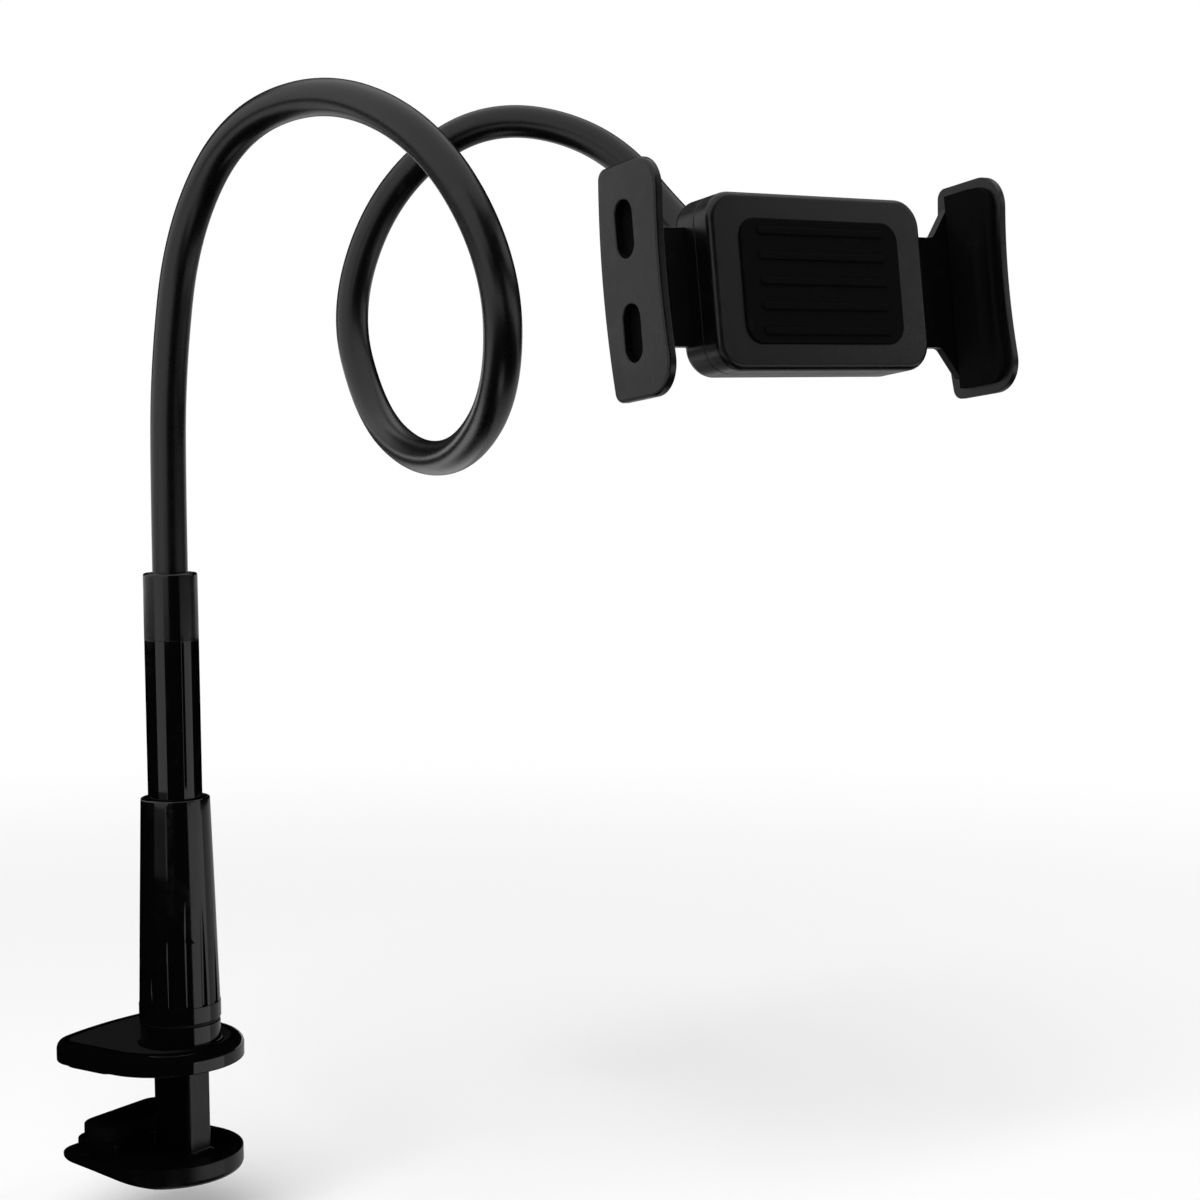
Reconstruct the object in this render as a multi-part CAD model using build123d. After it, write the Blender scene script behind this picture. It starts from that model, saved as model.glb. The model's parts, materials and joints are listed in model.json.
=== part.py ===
from build123d import *
import math
import os

# Phone holder on a gooseneck arm with a desk clamp, in millimetres.
# Pieces are modelled about the column axis, with z = 0 on the desk top and the user at -Y.
# The finished part is shifted so that its origin is the centre of the upper pad's face.

# Clamp jaws, seen from above
jaw_half_width = 24.0
jaw_reach = 34.5
jaw_heel = 18.0
jaw_corner = 9.0
upper_jaw_thick = 6.5
upper_jaw_round = 3.0
top_panel_rim = 4.2
top_panel_depth = 0.25
boss_radius = 12.4
boss_height = 6.4
boss_fillet = 1.2
spigot_wall = 1.2
spigot_rise = 9.3

# Rubber pads of the clamp
pad_inset = 2.6
pad_proud = 1.5
pad_recess = 0.6
pad_post_gap = 2.4
pad_corner = 3.0
plinth_height = 4.2
plinth_inset = 4.6
lower_pad_proud = 4.5
lower_pad_step = 1.4

# Lower jaw and the post that is moulded with it
desk_gap = 18.5
heel_depth = 6.8
toe_depth = 2.6
hull_flat = -6.0
hull_round = 2.4
post_x = 10.2
post_y = 15.2
post_corner = 1.5
post_length = 66.7
post_clear = 0.15
post_rise = 10.5
post_bore_depth = 48.0

# Clamp screw and its nut
screw_radius = 3.0
screw_length = 48.0
screw_head_flats = 10.0
screw_head_height = 3.5
nut_radius = 4.1
nut_length = 10.0
nut_flange_radius = 4.9
nut_flange = 1.2

# Turning column
column_length = 69.1
column_top_radius = 10.6
column_foot_radius = 12.45
grip_radius = 11.62
grip_height = 29.6
ring_radius = 12.6
ring_height = 5.2
rim_wall = 0.9
rim_chamfer = 0.4
flute_count = 14
flute_radius = 1.1
flute_floor = 11.5
flute_turn = -8.5
web_thick = 5.0
web_gap = 1.0
post_bore_gap = 0.4
washer_thick = 0.8
washer_inset = 0.4
snap_ring_width = 1.2
snap_ring_lift = 1.2
snap_ring_inner_bite = 0.5
snap_ring_outer_bite = 0.95

# Extension tube, its bush and the lower ferrule
tube_radius = 8.3
tube_wall = 1.0
tube_shown = 49.0
bush_length = 24.0
tube_seat_gap = 0.2
ferrule_height = 20.5
ferrule_chamfer = 0.8
ferrule_plug = 14.0

# Gooseneck, as points from the top of the lower ferrule
neck_radius = 5.4
neck_socket = 14.5
neck_route = [
    (0.0, 0.0, 21.5),
    (1.0, 0.0, 61.5),
    (3.5, -4.0, 103.0),
    (2.0, -28.5, 134.5),
    (-2.5, -70.0, 140.5),
    (-10.5, -111.5, 122.5),
    (-9.0, -132.5, 88.5),
    (5.5, -122.5, 54.0),
    (39.5, -84.0, 35.5),
    (63.5, -45.5, 33.5),
    (80.0, -14.5, 50.0),
    (88.5, 1.5, 83.0),
    (96.0, -9.0, 123.0),
    (116.5, -36.5, 149.5),
    (135.5, -73.0, 141.0),
    (140.9, -100.4, 107.3),
    (129.8, -127.1, 91.8),
]
arc_share = 0.45

# Upper ferrule and ball stud
end_radius = 7.2
end_nose_radius = 5.2
end_socket = 13.0
end_floor = 7.0
end_nose = 3.0
stud_radius = 2.75
stud_neck_radius = 3.2
ball_radius = 7.0
ball_reach = 17.0

# Clip, with x across, y away from the user and z up, from the face that the device rests on
clip_yaw = -22.7
clip_pitch = -6.6
clip_roll = -0.6
clip_gap = 130.4
clip_close = 10.0
housing_width = 84.0
housing_height = 54.0
housing_corner = 9.0
housing_wall = 2.2
front_depth = 7.5
rear_depth = 11.0
rear_skin = 3.0
front_skin = 2.5
front_round = 2.0
rear_round = 3.0
cushion_width = 62.0
cushion_height = 38.0
cushion_corner = 6.0
cushion_proud = 1.5
cushion_recess = 0.8
cushion_rib_count = 5
cushion_rib_width = 2.4
cushion_rib_height = 0.6
case_screw_inset = 5.6
case_screw_radius = 1.5
case_boss_radius = 3.4
case_head_radius = 2.7
case_head_height = 1.6
case_screw_tip_gap = 1.0

# Sliding jaws of the clip
wall_height = 69.2
wall_flare = 0.3
wall_thick = 2.8
wall_front = 10.8
wall_back = 18.1
wall_hollow = 2.5
wall_bow = 2.4
wall_back_corner = 3.0
wall_front_corner = 12.5
wall_outer_round = 1.2
wall_inner_round = 0.5
slot_width = 8.6
slot_height = 17.0
slot_pitch = 30.5
slot_back = 6.9
tongue_thick = 3.2
tongue_stop_gap = 0.5
tongue_clear = 0.15
root_half = 28.0
root_run = 8.0
grip_pad_thick = 2.2
grip_pad_inset = 3.2
grip_pad_back = 13.6
grip_groove_depth = 1.0
grip_groove_width = 6.4
grip_groove_centre = -1.2

# Springs that draw the jaws together
peg_radius = 1.5
peg_inset = 5.5
spring_level = 8.0
spring_depth = 10.5
spring_radius = 2.2
spring_wall = 0.5
eye_radius = 2.9
eye_thick = 0.8
guide_rib = 1.6
guide_rib_level = 14.5
guide_rib_end_gap = 1.0

# Ball socket and lock nut on the back of the clip
ball_standoff = 9.0
socket_wall = 2.6
socket_lip = 2.5
socket_lip_wall = 1.7
socket_slit = 1.0
collar_wall = 1.55
collar_height = 8.0
nut_skin = 2.7
nut_lift = 1.2
nut_mouth = 8.2
nut_mouth_lift = 4.0
nut_chamfer = 1.0
nut_mouth_chamfer = 0.6
nut_scallops = 12
nut_scallop_radius = 2.2
nut_scallop_depth = 0.7

# Clearances
running = 0.06
sliding = 0.1
seat = 0.05
pick_margin = 0.1

# Heights worked out from the sizes above
jaw_under = pad_proud
jaw_top = jaw_under + upper_jaw_thick
boss_top = jaw_top + boss_height
column_foot = boss_top + washer_thick
spigot_top = column_foot + spigot_rise
column_top = column_foot + column_length
lower_top = -desk_gap - lower_pad_proud - plinth_height
post_top = lower_top + post_length
web_under = post_top + nut_flange + post_rise + web_gap
web_top = web_under + web_thick
tube_foot = web_top + tube_seat_gap
tube_top = column_top + tube_shown
ferrule_top = tube_top + ferrule_height
pad_back = post_y / 2 + pad_post_gap
pad_centre = (pad_back + jaw_reach - pad_inset) / 2
post_reach = math.hypot(post_x / 2 - post_corner, post_y / 2 - post_corner) + post_corner
spigot_radius = post_reach + post_clear + spigot_wall
bush_radius = column_top_radius - rim_wall
split = cushion_proud + front_depth
housing_back = split + rear_depth
tongue_back = housing_back - rear_skin
tongue_front = tongue_back - tongue_thick
tongue_half = housing_height / 2 - case_screw_inset - case_boss_radius
tongue_inner = clip_close + tongue_stop_gap
peg_from_centre = tongue_inner + peg_inset
wall_inner = clip_gap / 2 + grip_pad_thick - grip_groove_depth
ball_depth = housing_back + ball_standoff
socket_radius = ball_radius + running + socket_wall
collar_radius = socket_radius + sliding + collar_wall
os.makedirs("parts", exist_ok=True)
origin_shift = Pos(0, -pad_centre, 0)


def save(name, shape):
    export_step(origin_shift * shape, f"parts/{name}.step")


# Small shapes that several pieces use
def disc(radius, low, high):
    return Pos(0, 0, low) * Cylinder(
        radius, high - low, align=(Align.CENTER, Align.CENTER, Align.MIN)
    )


def block(x, y, low, high, corner):
    return Pos(0, 0, low) * extrude(RectangleRounded(x, y, corner), high - low)


def turned(points):
    return revolve(Plane.XZ * make_face(Polyline(*points, close=True)), Axis.Z)


def jaw_plan(inset):
    heel_y = jaw_half_width - jaw_heel
    half = jaw_half_width - inset
    front = Pos(0, heel_y) * Rectangle(
        2 * half, jaw_reach - inset - heel_y, align=(Align.CENTER, Align.MIN)
    )
    front = fillet(front.vertices().group_by(Axis.Y)[-1], jaw_corner - inset)
    return front + Pos(0, heel_y) * Circle(half)


def pad_plan(inset):
    back = pad_back + inset - pad_inset
    depth = jaw_reach - inset - back
    strip = Pos(0, back) * Rectangle(
        2 * (jaw_half_width - inset), depth, align=(Align.CENTER, Align.MIN)
    )
    strip = fillet(strip.vertices().group_by(Axis.Y)[-1], jaw_corner - pad_inset)
    return fillet(strip.vertices().group_by(Axis.Y)[0], pad_corner)


# Upper jaw: plate, boss and the spigot that the column turns on
snap_low = column_foot + snap_ring_lift
snap_high = snap_low + snap_ring_width
plate = Pos(0, 0, jaw_under) * extrude(jaw_plan(0), upper_jaw_thick)
plate = fillet(plate.edges().group_by(Axis.Z)[-1], upper_jaw_round)
panel = extrude(jaw_plan(top_panel_rim), top_panel_depth)
plate -= Pos(0, 0, jaw_top - top_panel_depth) * panel
plate += disc(boss_radius, jaw_top - top_panel_depth, boss_top)
boss_foot = plate.edges().filter_by(GeomType.CIRCLE).filter_by(
    lambda e: abs(e.radius - boss_radius) < 1e-6 and e.center().Z < jaw_top
)
plate = fillet(boss_foot, boss_fillet)
spigot = disc(spigot_radius, boss_top, spigot_top)
spigot -= disc(spigot_radius, snap_low, snap_high) - disc(
    spigot_radius - snap_ring_inner_bite, snap_low, snap_high
)
upper_jaw = plate + spigot
upper_jaw -= block(
    post_x + 2 * post_clear, post_y + 2 * post_clear, 0, spigot_top, post_corner
)
upper_jaw -= extrude(pad_plan(pad_inset), jaw_under + pad_recess)
save("upper_jaw", upper_jaw)
save("upper_jaw_pad", extrude(pad_plan(pad_inset), jaw_under + pad_recess))

# Washer and snap ring between the upper jaw and the column
washer = disc(ring_radius - washer_inset, boss_top, column_foot)
washer -= disc(spigot_radius + sliding, boss_top, column_foot)
save("thrust_washer", washer)
snap_ring = disc(spigot_radius + snap_ring_outer_bite, snap_low, snap_high)
snap_ring -= disc(spigot_radius - snap_ring_inner_bite + seat, snap_low, snap_high)
save("snap_ring", snap_ring)

# Lower jaw: sloping hull, plinth and post in one moulding
hull = Pos(0, 0, lower_top - heel_depth) * extrude(jaw_plan(0), heel_depth)
side_view = Plane.YZ * make_face(
    Polyline(
        (-jaw_heel, lower_top),
        (jaw_reach, lower_top),
        (jaw_reach, lower_top - toe_depth),
        (hull_flat, lower_top - heel_depth),
        (-jaw_heel, lower_top - heel_depth),
        close=True,
    )
)
hull &= extrude(side_view, jaw_half_width, both=True)
hull = fillet(
    hull.edges().filter_by(lambda e: (e @ 0.5).Z < lower_top - toe_depth + pick_margin),
    hull_round,
)
plinth = Pos(0, 0, lower_top) * extrude(pad_plan(plinth_inset), plinth_height)
post = block(post_x, post_y, lower_top - toe_depth, post_top, post_corner)
lower_jaw = hull + plinth + post
plinth_top = lower_top + plinth_height
lower_pad = extrude(
    pad_plan(plinth_inset + lower_pad_step), lower_pad_proud + pad_recess
)
lower_pad = Pos(0, 0, plinth_top - pad_recess) * lower_pad
lower_jaw -= lower_pad
lower_jaw -= disc(screw_radius + 2 * post_bore_gap, post_top - post_bore_depth, post_top)
lower_jaw -= disc(nut_radius + seat, post_top - nut_length, post_top)
save("lower_jaw", lower_jaw)
save("lower_jaw_pad", lower_pad)

# Nut pressed into the post, and the screw that turns in it
nut = disc(nut_radius, post_top - nut_length, post_top)
nut += disc(nut_flange_radius, post_top, post_top + nut_flange)
nut -= disc(screw_radius + running, post_top - nut_length, post_top + nut_flange)
save("drive_nut", nut)
head_low = web_top - screw_head_height
screw_head = RegularPolygon(screw_head_flats / 2, 6, major_radius=False)
screw = disc(screw_radius, head_low - screw_length, head_low)
screw += Pos(0, 0, head_low) * extrude(screw_head, screw_head_height)
save("clamp_screw", screw)

# Column: tapered grip with flutes that run out upwards, as the taper narrows
ring_top = column_foot + ring_height
grip = turned(
    [
        (0, column_foot),
        (ring_radius, column_foot),
        (ring_radius, ring_top),
        (column_foot_radius, ring_top),
        (grip_radius, ring_top + grip_height),
        (column_top_radius, column_top - rim_chamfer),
        (column_top_radius - rim_chamfer, column_top),
        (0, column_top),
    ]
)
flutes = PolarLocations(flute_floor + flute_radius, flute_count, start_angle=180 / flute_count)
grip -= flutes * disc(flute_radius, ring_top, column_top)
column = Rot(Z=flute_turn) * grip
column -= disc(spigot_radius + running, column_foot, spigot_top + post_bore_gap)
column -= disc(spigot_radius + snap_ring_outer_bite + sliding, snap_low - seat, snap_high + seat)
column -= disc(post_reach + post_bore_gap, column_foot, web_under)
column -= disc(screw_radius + seat, web_under, web_top)
pocket = RegularPolygon(screw_head_flats / 2 + seat, 6, major_radius=False)
column -= Pos(0, 0, head_low) * extrude(pocket, screw_head_height)
column -= disc(bush_radius, web_top, column_top)
save("column", column)

# Bush in the top of the column, and the tube that swivels in it
bush = disc(bush_radius - seat, web_top, web_top + bush_length)
bush -= disc(tube_radius + running, web_top, web_top + bush_length)
save("tube_bush", bush)
tube = disc(tube_radius, tube_foot, tube_top)
tube -= disc(tube_radius - tube_wall, tube_foot, tube_top)
save("extension_tube", tube)

# Lower ferrule: plugs into the tube and holds the foot of the gooseneck
ferrule = disc(tube_radius, tube_top, ferrule_top)
ferrule = chamfer(ferrule.edges().group_by(Axis.Z)[-1], ferrule_chamfer)
ferrule += disc(tube_radius - tube_wall - seat, tube_top - ferrule_plug, tube_top)
ferrule -= disc(neck_radius + seat, ferrule_top - neck_socket, ferrule_top)
save("ferrule", ferrule)

# Gooseneck: straight runs joined by arcs as large as the runs allow
root = Vector(0, 0, ferrule_top)
points = [root - Vector(0, 0, neck_socket)] + [root + Vector(*p) for p in neck_route]
runs = [b - a for a, b in zip(points, points[1:])]
radii = []
for before, after in zip(runs, runs[1:]):
    half_turn = math.radians(before.get_angle(after)) / 2
    radii.append(arc_share * min(before.length, after.length) / math.tan(half_turn))
neck_path = FilletPolyline(*points, radius=radii)
neck_section = Plane(points[0], z_dir=runs[0]) * Circle(neck_radius)
gooseneck = sweep(neck_section, path=neck_path)
save("gooseneck", gooseneck)
print("neck radii", [round(r, 1) for r in radii])
print("neck length", round(neck_path.length, 1), "volume share",
      round(gooseneck.volume / (math.pi * neck_radius**2 * neck_path.length), 4))

# Upper ferrule and ball stud, along the last run of the gooseneck
stud_axis = runs[-1].normalized()
neck_end = Plane(points[-1], x_dir=(1, 0, 0), z_dir=stud_axis).location
end_ferrule = turned(
    [
        (0, -end_socket),
        (end_radius - ferrule_chamfer, -end_socket),
        (end_radius, -end_socket + ferrule_chamfer),
        (end_radius, end_floor - end_nose),
        (end_nose_radius, end_floor),
        (0, end_floor),
    ]
)
end_ferrule -= disc(neck_radius + seat, -end_socket, 0)
end_ferrule -= disc(stud_radius + running, 0, end_floor)
save("end_ferrule", neck_end * end_ferrule)
stud = disc(stud_radius, seat, end_floor)
stud += disc(stud_neck_radius, end_floor + seat, ball_reach)
stud += disc(stud_radius, end_floor, end_floor + seat)
stud += Pos(0, 0, ball_reach) * Sphere(ball_radius)
save("ball_stud", neck_end * stud)

# Clip: its own axes, hung on the ball
ball = points[-1] + stud_axis * ball_reach
hang = Rot(Z=clip_yaw) * Rot(X=clip_pitch) * Rot(Y=clip_roll)
clip = Pos(*ball) * hang * Pos(0, -ball_depth, 0)
clip_across = Plane.XZ


def clip_plate(sketch, front, back):
    # a flat outline in x and z, made solid from depth front to depth back
    return Pos(0, back, 0) * extrude(clip_across * sketch, back - front)


def clip_pin(radius, x, z, front, back):
    return clip_plate(Pos(x, z) * Circle(radius), front, back)


def at_corners(radius, front, back):
    x = housing_width / 2 - case_screw_inset
    z = housing_height / 2 - case_screw_inset
    corners = [(x, z), (x, -z), (-x, z), (-x, -z)]
    return [clip_pin(radius, cx, cz, front, back) for cx, cz in corners]


outline = RectangleRounded(housing_width, housing_height, housing_corner)
cavity = RectangleRounded(
    housing_width - 2 * housing_wall,
    housing_height - 2 * housing_wall,
    housing_corner - housing_wall,
)
cushion_outline = RectangleRounded(cushion_width, cushion_height, cushion_corner)
skin_back = cushion_proud + front_skin

# Front housing: skin, screw bosses and the two ribs that keep the tongues down
front_housing = clip_plate(outline, cushion_proud, split)
front_housing = fillet(front_housing.edges().group_by(Axis.Y)[0], front_round)
front_housing -= clip_plate(cavity, skin_back, split)
bosses = at_corners(case_boss_radius, skin_back, split)
front_housing += [b & clip_plate(outline, cushion_proud, split) for b in bosses]
for level in (guide_rib_level, -guide_rib_level):
    rib = Pos(0, level) * Rectangle(housing_width - 2 * (housing_wall + guide_rib_end_gap), guide_rib)
    front_housing += clip_plate(rib, skin_back, tongue_front - tongue_clear)
front_housing -= at_corners(case_screw_radius - seat, skin_back, split)
front_housing -= clip_plate(cushion_outline, cushion_proud, cushion_proud + cushion_recess)
save("front_housing", clip * front_housing)

# Ribbed cushion that the device rests on
cushion = clip_plate(cushion_outline, cushion_rib_height, cushion_proud + cushion_recess)
rib_pitch = cushion_height / cushion_rib_count
for i in range(cushion_rib_count):
    rib_level = (i - (cushion_rib_count - 1) / 2) * rib_pitch
    bar = SlotOverall(cushion_width - 2 * cushion_corner, cushion_rib_width)
    cushion += clip_plate(Pos(0, rib_level) * bar, 0, cushion_rib_height)
save("front_cushion", clip * cushion)

# Rear housing: tray, tongue slots, screw holes and the collar of the ball socket
rear_housing = clip_plate(outline, split, housing_back)
rear_housing = fillet(rear_housing.edges().group_by(Axis.Y)[-1], rear_round)
rear_housing -= clip_plate(cavity, split, tongue_back + tongue_clear)
rear_bosses = at_corners(case_boss_radius, split, housing_back - rear_round)
rear_housing += [b & clip_plate(outline, split, housing_back) for b in rear_bosses]
tongue_slot = Rectangle(housing_width, 2 * (tongue_half + tongue_clear))
rear_housing -= clip_plate(
    tongue_slot, tongue_front - tongue_clear, tongue_back + tongue_clear
)
rear_housing -= at_corners(case_screw_radius + sliding, split, housing_back)
rear_housing -= at_corners(
    case_head_radius + sliding, housing_back - case_head_height - rear_round / 2, housing_back
)
rear_housing += clip_pin(collar_radius, 0, 0, housing_back, housing_back + collar_height)
rear_housing -= clip_pin(
    socket_radius + sliding, 0, 0, housing_back, housing_back + collar_height
)
save("rear_housing", clip * rear_housing)

# Four case screws, in one group
head_seat = housing_back - case_head_height - rear_round / 2
shanks = at_corners(case_screw_radius - 2 * seat, skin_back + case_screw_tip_gap, head_seat)
heads = at_corners(case_head_radius, head_seat, head_seat + case_head_height)
case_screws = [shank + head for shank, head in zip(shanks, heads)]
save("case_screws", clip * Compound(case_screws))


# Sliding jaw: wall with a hollowed front edge, a bowed back and two slots that its pad closes, and a tongue
def wall_outline(inset, back, bow):
    flare = wall_flare * (wall_back - back) / (wall_back + wall_front)
    half = wall_height / 2 + flare - inset
    front_half = wall_height / 2 + wall_flare - inset
    top_front = (-wall_front + inset, front_half)
    low_front = (-wall_front + inset, -front_half)
    edge = ThreePointArc(top_front, (-wall_front + wall_hollow + inset, 0), low_front)
    low_back, top_back = (back, -half), (back, half)
    rear = ThreePointArc(low_back, (back + bow, 0), top_back) if bow else Line(low_back, top_back)
    face = make_face([edge, Line(low_front, low_back), rear, Line(top_back, top_front)])
    front_corners = face.vertices().group_by(Axis.X)[0]
    return fillet(front_corners, wall_front_corner - inset)


def jaw_wall():
    face = fillet(
        wall_outline(0, wall_back, wall_bow).vertices().group_by(Axis.X)[-1], wall_back_corner
    )
    slot = SlotOverall(slot_height, slot_width, rotation=90)
    for level in (slot_pitch / 2, -slot_pitch / 2):
        face -= Pos(slot_back, level) * slot
    wall = Pos(wall_inner, 0, 0) * extrude(Plane.YZ * face, wall_thick)
    slot_reach = slot_width / 2 + pick_margin
    rim = wall.edges().filter_by(lambda e: abs((e @ 0.5).Y - slot_back) > slot_reach)
    outer = rim.group_by(Axis.X)[-1]
    return fillet(outer, wall_outer_round)


def clip_jaw():
    jaw = jaw_wall()
    wall_x = wall_inner + wall_inner_round
    plan = Polyline(
        (tongue_inner, -tongue_half),
        (wall_inner - root_run, -tongue_half),
        (wall_inner, -root_half),
        (wall_x, -root_half),
        (wall_x, root_half),
        (wall_inner, root_half),
        (wall_inner - root_run, tongue_half),
        (tongue_inner, tongue_half),
        close=True,
    )
    jaw += clip_plate(make_face(plan), tongue_front, tongue_back)
    for level in (spring_level, -spring_level):
        jaw += clip_pin(
            peg_radius, peg_from_centre, level, spring_depth - spring_radius, tongue_front
        )
    return jaw


def grip_pad():
    face = wall_outline(grip_pad_inset, grip_pad_back, 0)
    pad = Pos(wall_inner - grip_pad_thick, 0, 0) * extrude(Plane.YZ * face, grip_pad_thick)
    half = grip_groove_width / 2
    groove_radius = (half**2 + grip_groove_depth**2) / (2 * grip_groove_depth)
    axis_x = wall_inner - grip_pad_thick + grip_groove_depth - groove_radius
    return pad - Pos(axis_x, grip_groove_centre, 0) * Cylinder(groove_radius, wall_height)


for side in ("left", "right"):
    jaw, pad = clip_jaw(), grip_pad()
    if side == "left":
        jaw, pad = mirror(jaw, Plane.YZ), mirror(pad, Plane.YZ)
    save(f"{side}_jaw", clip * jaw)
    save(f"{side}_jaw_pad", clip * pad)

# Springs: close-wound sleeves with an eye at each end, hooked on the tongues' pegs
eye_front = spring_depth - eye_thick / 2
for name, level in (("upper_spring", spring_level), ("lower_spring", -spring_level)):
    sleeve_end = peg_from_centre - eye_radius
    sleeve = Cylinder(spring_radius, 2 * sleeve_end)
    sleeve -= Cylinder(spring_radius - spring_wall, 2 * sleeve_end)
    spring = Pos(0, spring_depth, level) * Rot(Y=90) * sleeve
    for x in (peg_from_centre, -peg_from_centre):
        eye = Circle(eye_radius) + Pos(-math.copysign(eye_radius, x), 0) * Rectangle(
            eye_radius, 2 * spring_radius - spring_wall
        )
        eye -= Circle(peg_radius + sliding)
        spring += clip_plate(Pos(x, level) * eye, eye_front, eye_front + eye_thick)
    save(name, clip * spring)

# Ball socket liner and the nut that locks it, turned about the clip's depth axis
back_axis = Plane((0, housing_back, 0), x_dir=(1, 0, 0), z_dir=(0, 1, 0)).location
lip_top = ball_standoff + socket_lip
lip_radius = math.sqrt((ball_radius + running) ** 2 - socket_lip**2) + socket_lip_wall
socket = turned(
    [
        (0, seat),
        (socket_radius, seat),
        (socket_radius, ball_standoff),
        (lip_radius, lip_top),
        (0, lip_top),
    ]
)
socket -= Pos(0, 0, ball_standoff) * Sphere(ball_radius + running)
slit_box = Box(
    2 * collar_radius, socket_slit, lip_top - ball_standoff / 2,
    align=(Align.CENTER, Align.CENTER, Align.MIN),
)
for turn in (0, 90):
    socket -= Pos(0, 0, ball_standoff / 2) * Rot(Z=turn) * slit_box
save("ball_socket", clip * back_axis * socket)

lock_radius = collar_radius + sliding + nut_skin
shoulder = collar_height + 3 * sliding
mouth_top = ball_standoff + nut_mouth_lift
lock_nut = turned(
    [
        (collar_radius + sliding, nut_lift),
        (lock_radius, nut_lift),
        (lock_radius, mouth_top - nut_chamfer),
        (lock_radius - nut_chamfer, mouth_top),
        (nut_mouth + nut_mouth_chamfer, mouth_top),
        (nut_mouth, mouth_top - nut_mouth_chamfer),
        (nut_mouth, lip_top + sliding),
        (lip_radius + 2 * sliding, lip_top + sliding),
        (socket_radius + 2 * sliding, ball_standoff),
        (socket_radius + 2 * sliding, shoulder),
        (collar_radius + sliding, shoulder),
    ]
)
scallop_axis = lock_radius + nut_scallop_radius - nut_scallop_depth
lock_nut -= PolarLocations(scallop_axis, nut_scallops) * disc(
    nut_scallop_radius, nut_lift, mouth_top
)
save("lock_nut", clip * back_axis * lock_nut)

# Places that the joints use, in the finished part's frame
for name, place in (("ball", ball), ("clip origin", (clip * Pos(0, 0, 0)).position)):
    print(name, [round(v, 3) for v in (place - Vector(0, pad_centre, 0))])
print("stud axis", [round(v, 5) for v in stud_axis])
print("column axis y", -pad_centre)
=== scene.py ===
import json
import math
import bmesh
import bpy
import numpy as np
from mathutils import Euler, Matrix, Vector


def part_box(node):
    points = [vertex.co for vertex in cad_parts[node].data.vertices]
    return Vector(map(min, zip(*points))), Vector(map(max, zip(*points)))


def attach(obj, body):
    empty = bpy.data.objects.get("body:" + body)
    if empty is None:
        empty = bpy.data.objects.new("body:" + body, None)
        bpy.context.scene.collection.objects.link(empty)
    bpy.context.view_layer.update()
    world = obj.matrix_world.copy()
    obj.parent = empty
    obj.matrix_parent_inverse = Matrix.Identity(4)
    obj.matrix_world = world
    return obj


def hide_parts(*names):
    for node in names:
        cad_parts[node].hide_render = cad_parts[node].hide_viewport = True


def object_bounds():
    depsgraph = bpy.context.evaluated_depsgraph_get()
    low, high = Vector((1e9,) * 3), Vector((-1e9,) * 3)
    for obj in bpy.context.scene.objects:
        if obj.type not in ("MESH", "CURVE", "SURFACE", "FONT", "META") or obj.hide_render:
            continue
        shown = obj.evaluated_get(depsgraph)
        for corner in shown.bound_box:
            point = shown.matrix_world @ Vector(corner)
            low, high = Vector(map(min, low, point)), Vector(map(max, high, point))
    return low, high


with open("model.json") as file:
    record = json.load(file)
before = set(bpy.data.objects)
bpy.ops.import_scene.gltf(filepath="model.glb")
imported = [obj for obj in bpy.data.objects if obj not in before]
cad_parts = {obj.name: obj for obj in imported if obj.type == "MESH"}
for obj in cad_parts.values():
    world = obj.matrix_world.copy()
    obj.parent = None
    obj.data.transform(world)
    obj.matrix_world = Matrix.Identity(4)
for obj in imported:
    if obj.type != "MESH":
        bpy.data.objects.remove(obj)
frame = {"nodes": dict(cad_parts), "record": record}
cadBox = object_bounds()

mm = 0.001  # the pieces' sizes are in millimetres and degrees, the frame's in metres
poleRadius = 0.02  # for caps that close on an axis
nearlyFull, roundEnd = 0.9999, 0.999  # corner radius over half width, just short of a half circle
mergeGap, thinEdge = 0.002, 0.001  # for cleaning a mesh
sharpAngle = 32  # between two faces, from which their edge stays crisp
record = frame["record"]
joints = {j["name"]: j for j in record["behaviour"]["joints"]}
mounts = {m["name"]: m for m in record["mounts"]}


# places that the frame gives
def axisOf(joint):
    return np.array(joints[joint]["axis"], float)


def heightsOf(node):  # lowest and highest z in millimetres
    low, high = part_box(node)
    return low.z / mm, high.z / mm


columnFoot = np.array(joints["column_turn"]["pos_m"], float)
ballCentre = np.array(joints["ball_spin"]["pos_m"], float)
clipOrigin = np.array(mounts["device_rest"]["pos_m"], float)
clipAcross = axisOf("right_jaw_slide")
clipBehind = axisOf("lock_nut_turn")
clipUp = np.cross(clipAcross, clipBehind)
neckEndAxis = -axisOf("ball_spin")


def onColumn(p):  # millimetres about the column's axis
    return p * mm + columnFoot


def onClip(p):  # millimetres across, behind and up from the mount on the clip's face
    return clipOrigin + (p[..., :1] * clipAcross + p[..., 1:2] * clipBehind + p[..., 2:] * clipUp) * mm


def onNeckEnd(p, reach):  # millimetres about the neck's end, which lies reach before the ball
    side = np.cross(neckEndAxis, (0.0, 0.0, 1.0))
    side = side / np.linalg.norm(side)
    other = np.cross(neckEndAxis, side)
    return ballCentre + (p[..., :1] * side + p[..., 1:2] * other + (p[..., 2:] - reach) * neckEndAxis) * mm


# outlines and profiles
def arcSteps(start, end, count):  # even steps with both ends
    return np.linspace(start, end, count + 1)


def quarterSteps(count):
    return arcSteps(0, math.pi / 2, count)


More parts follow.
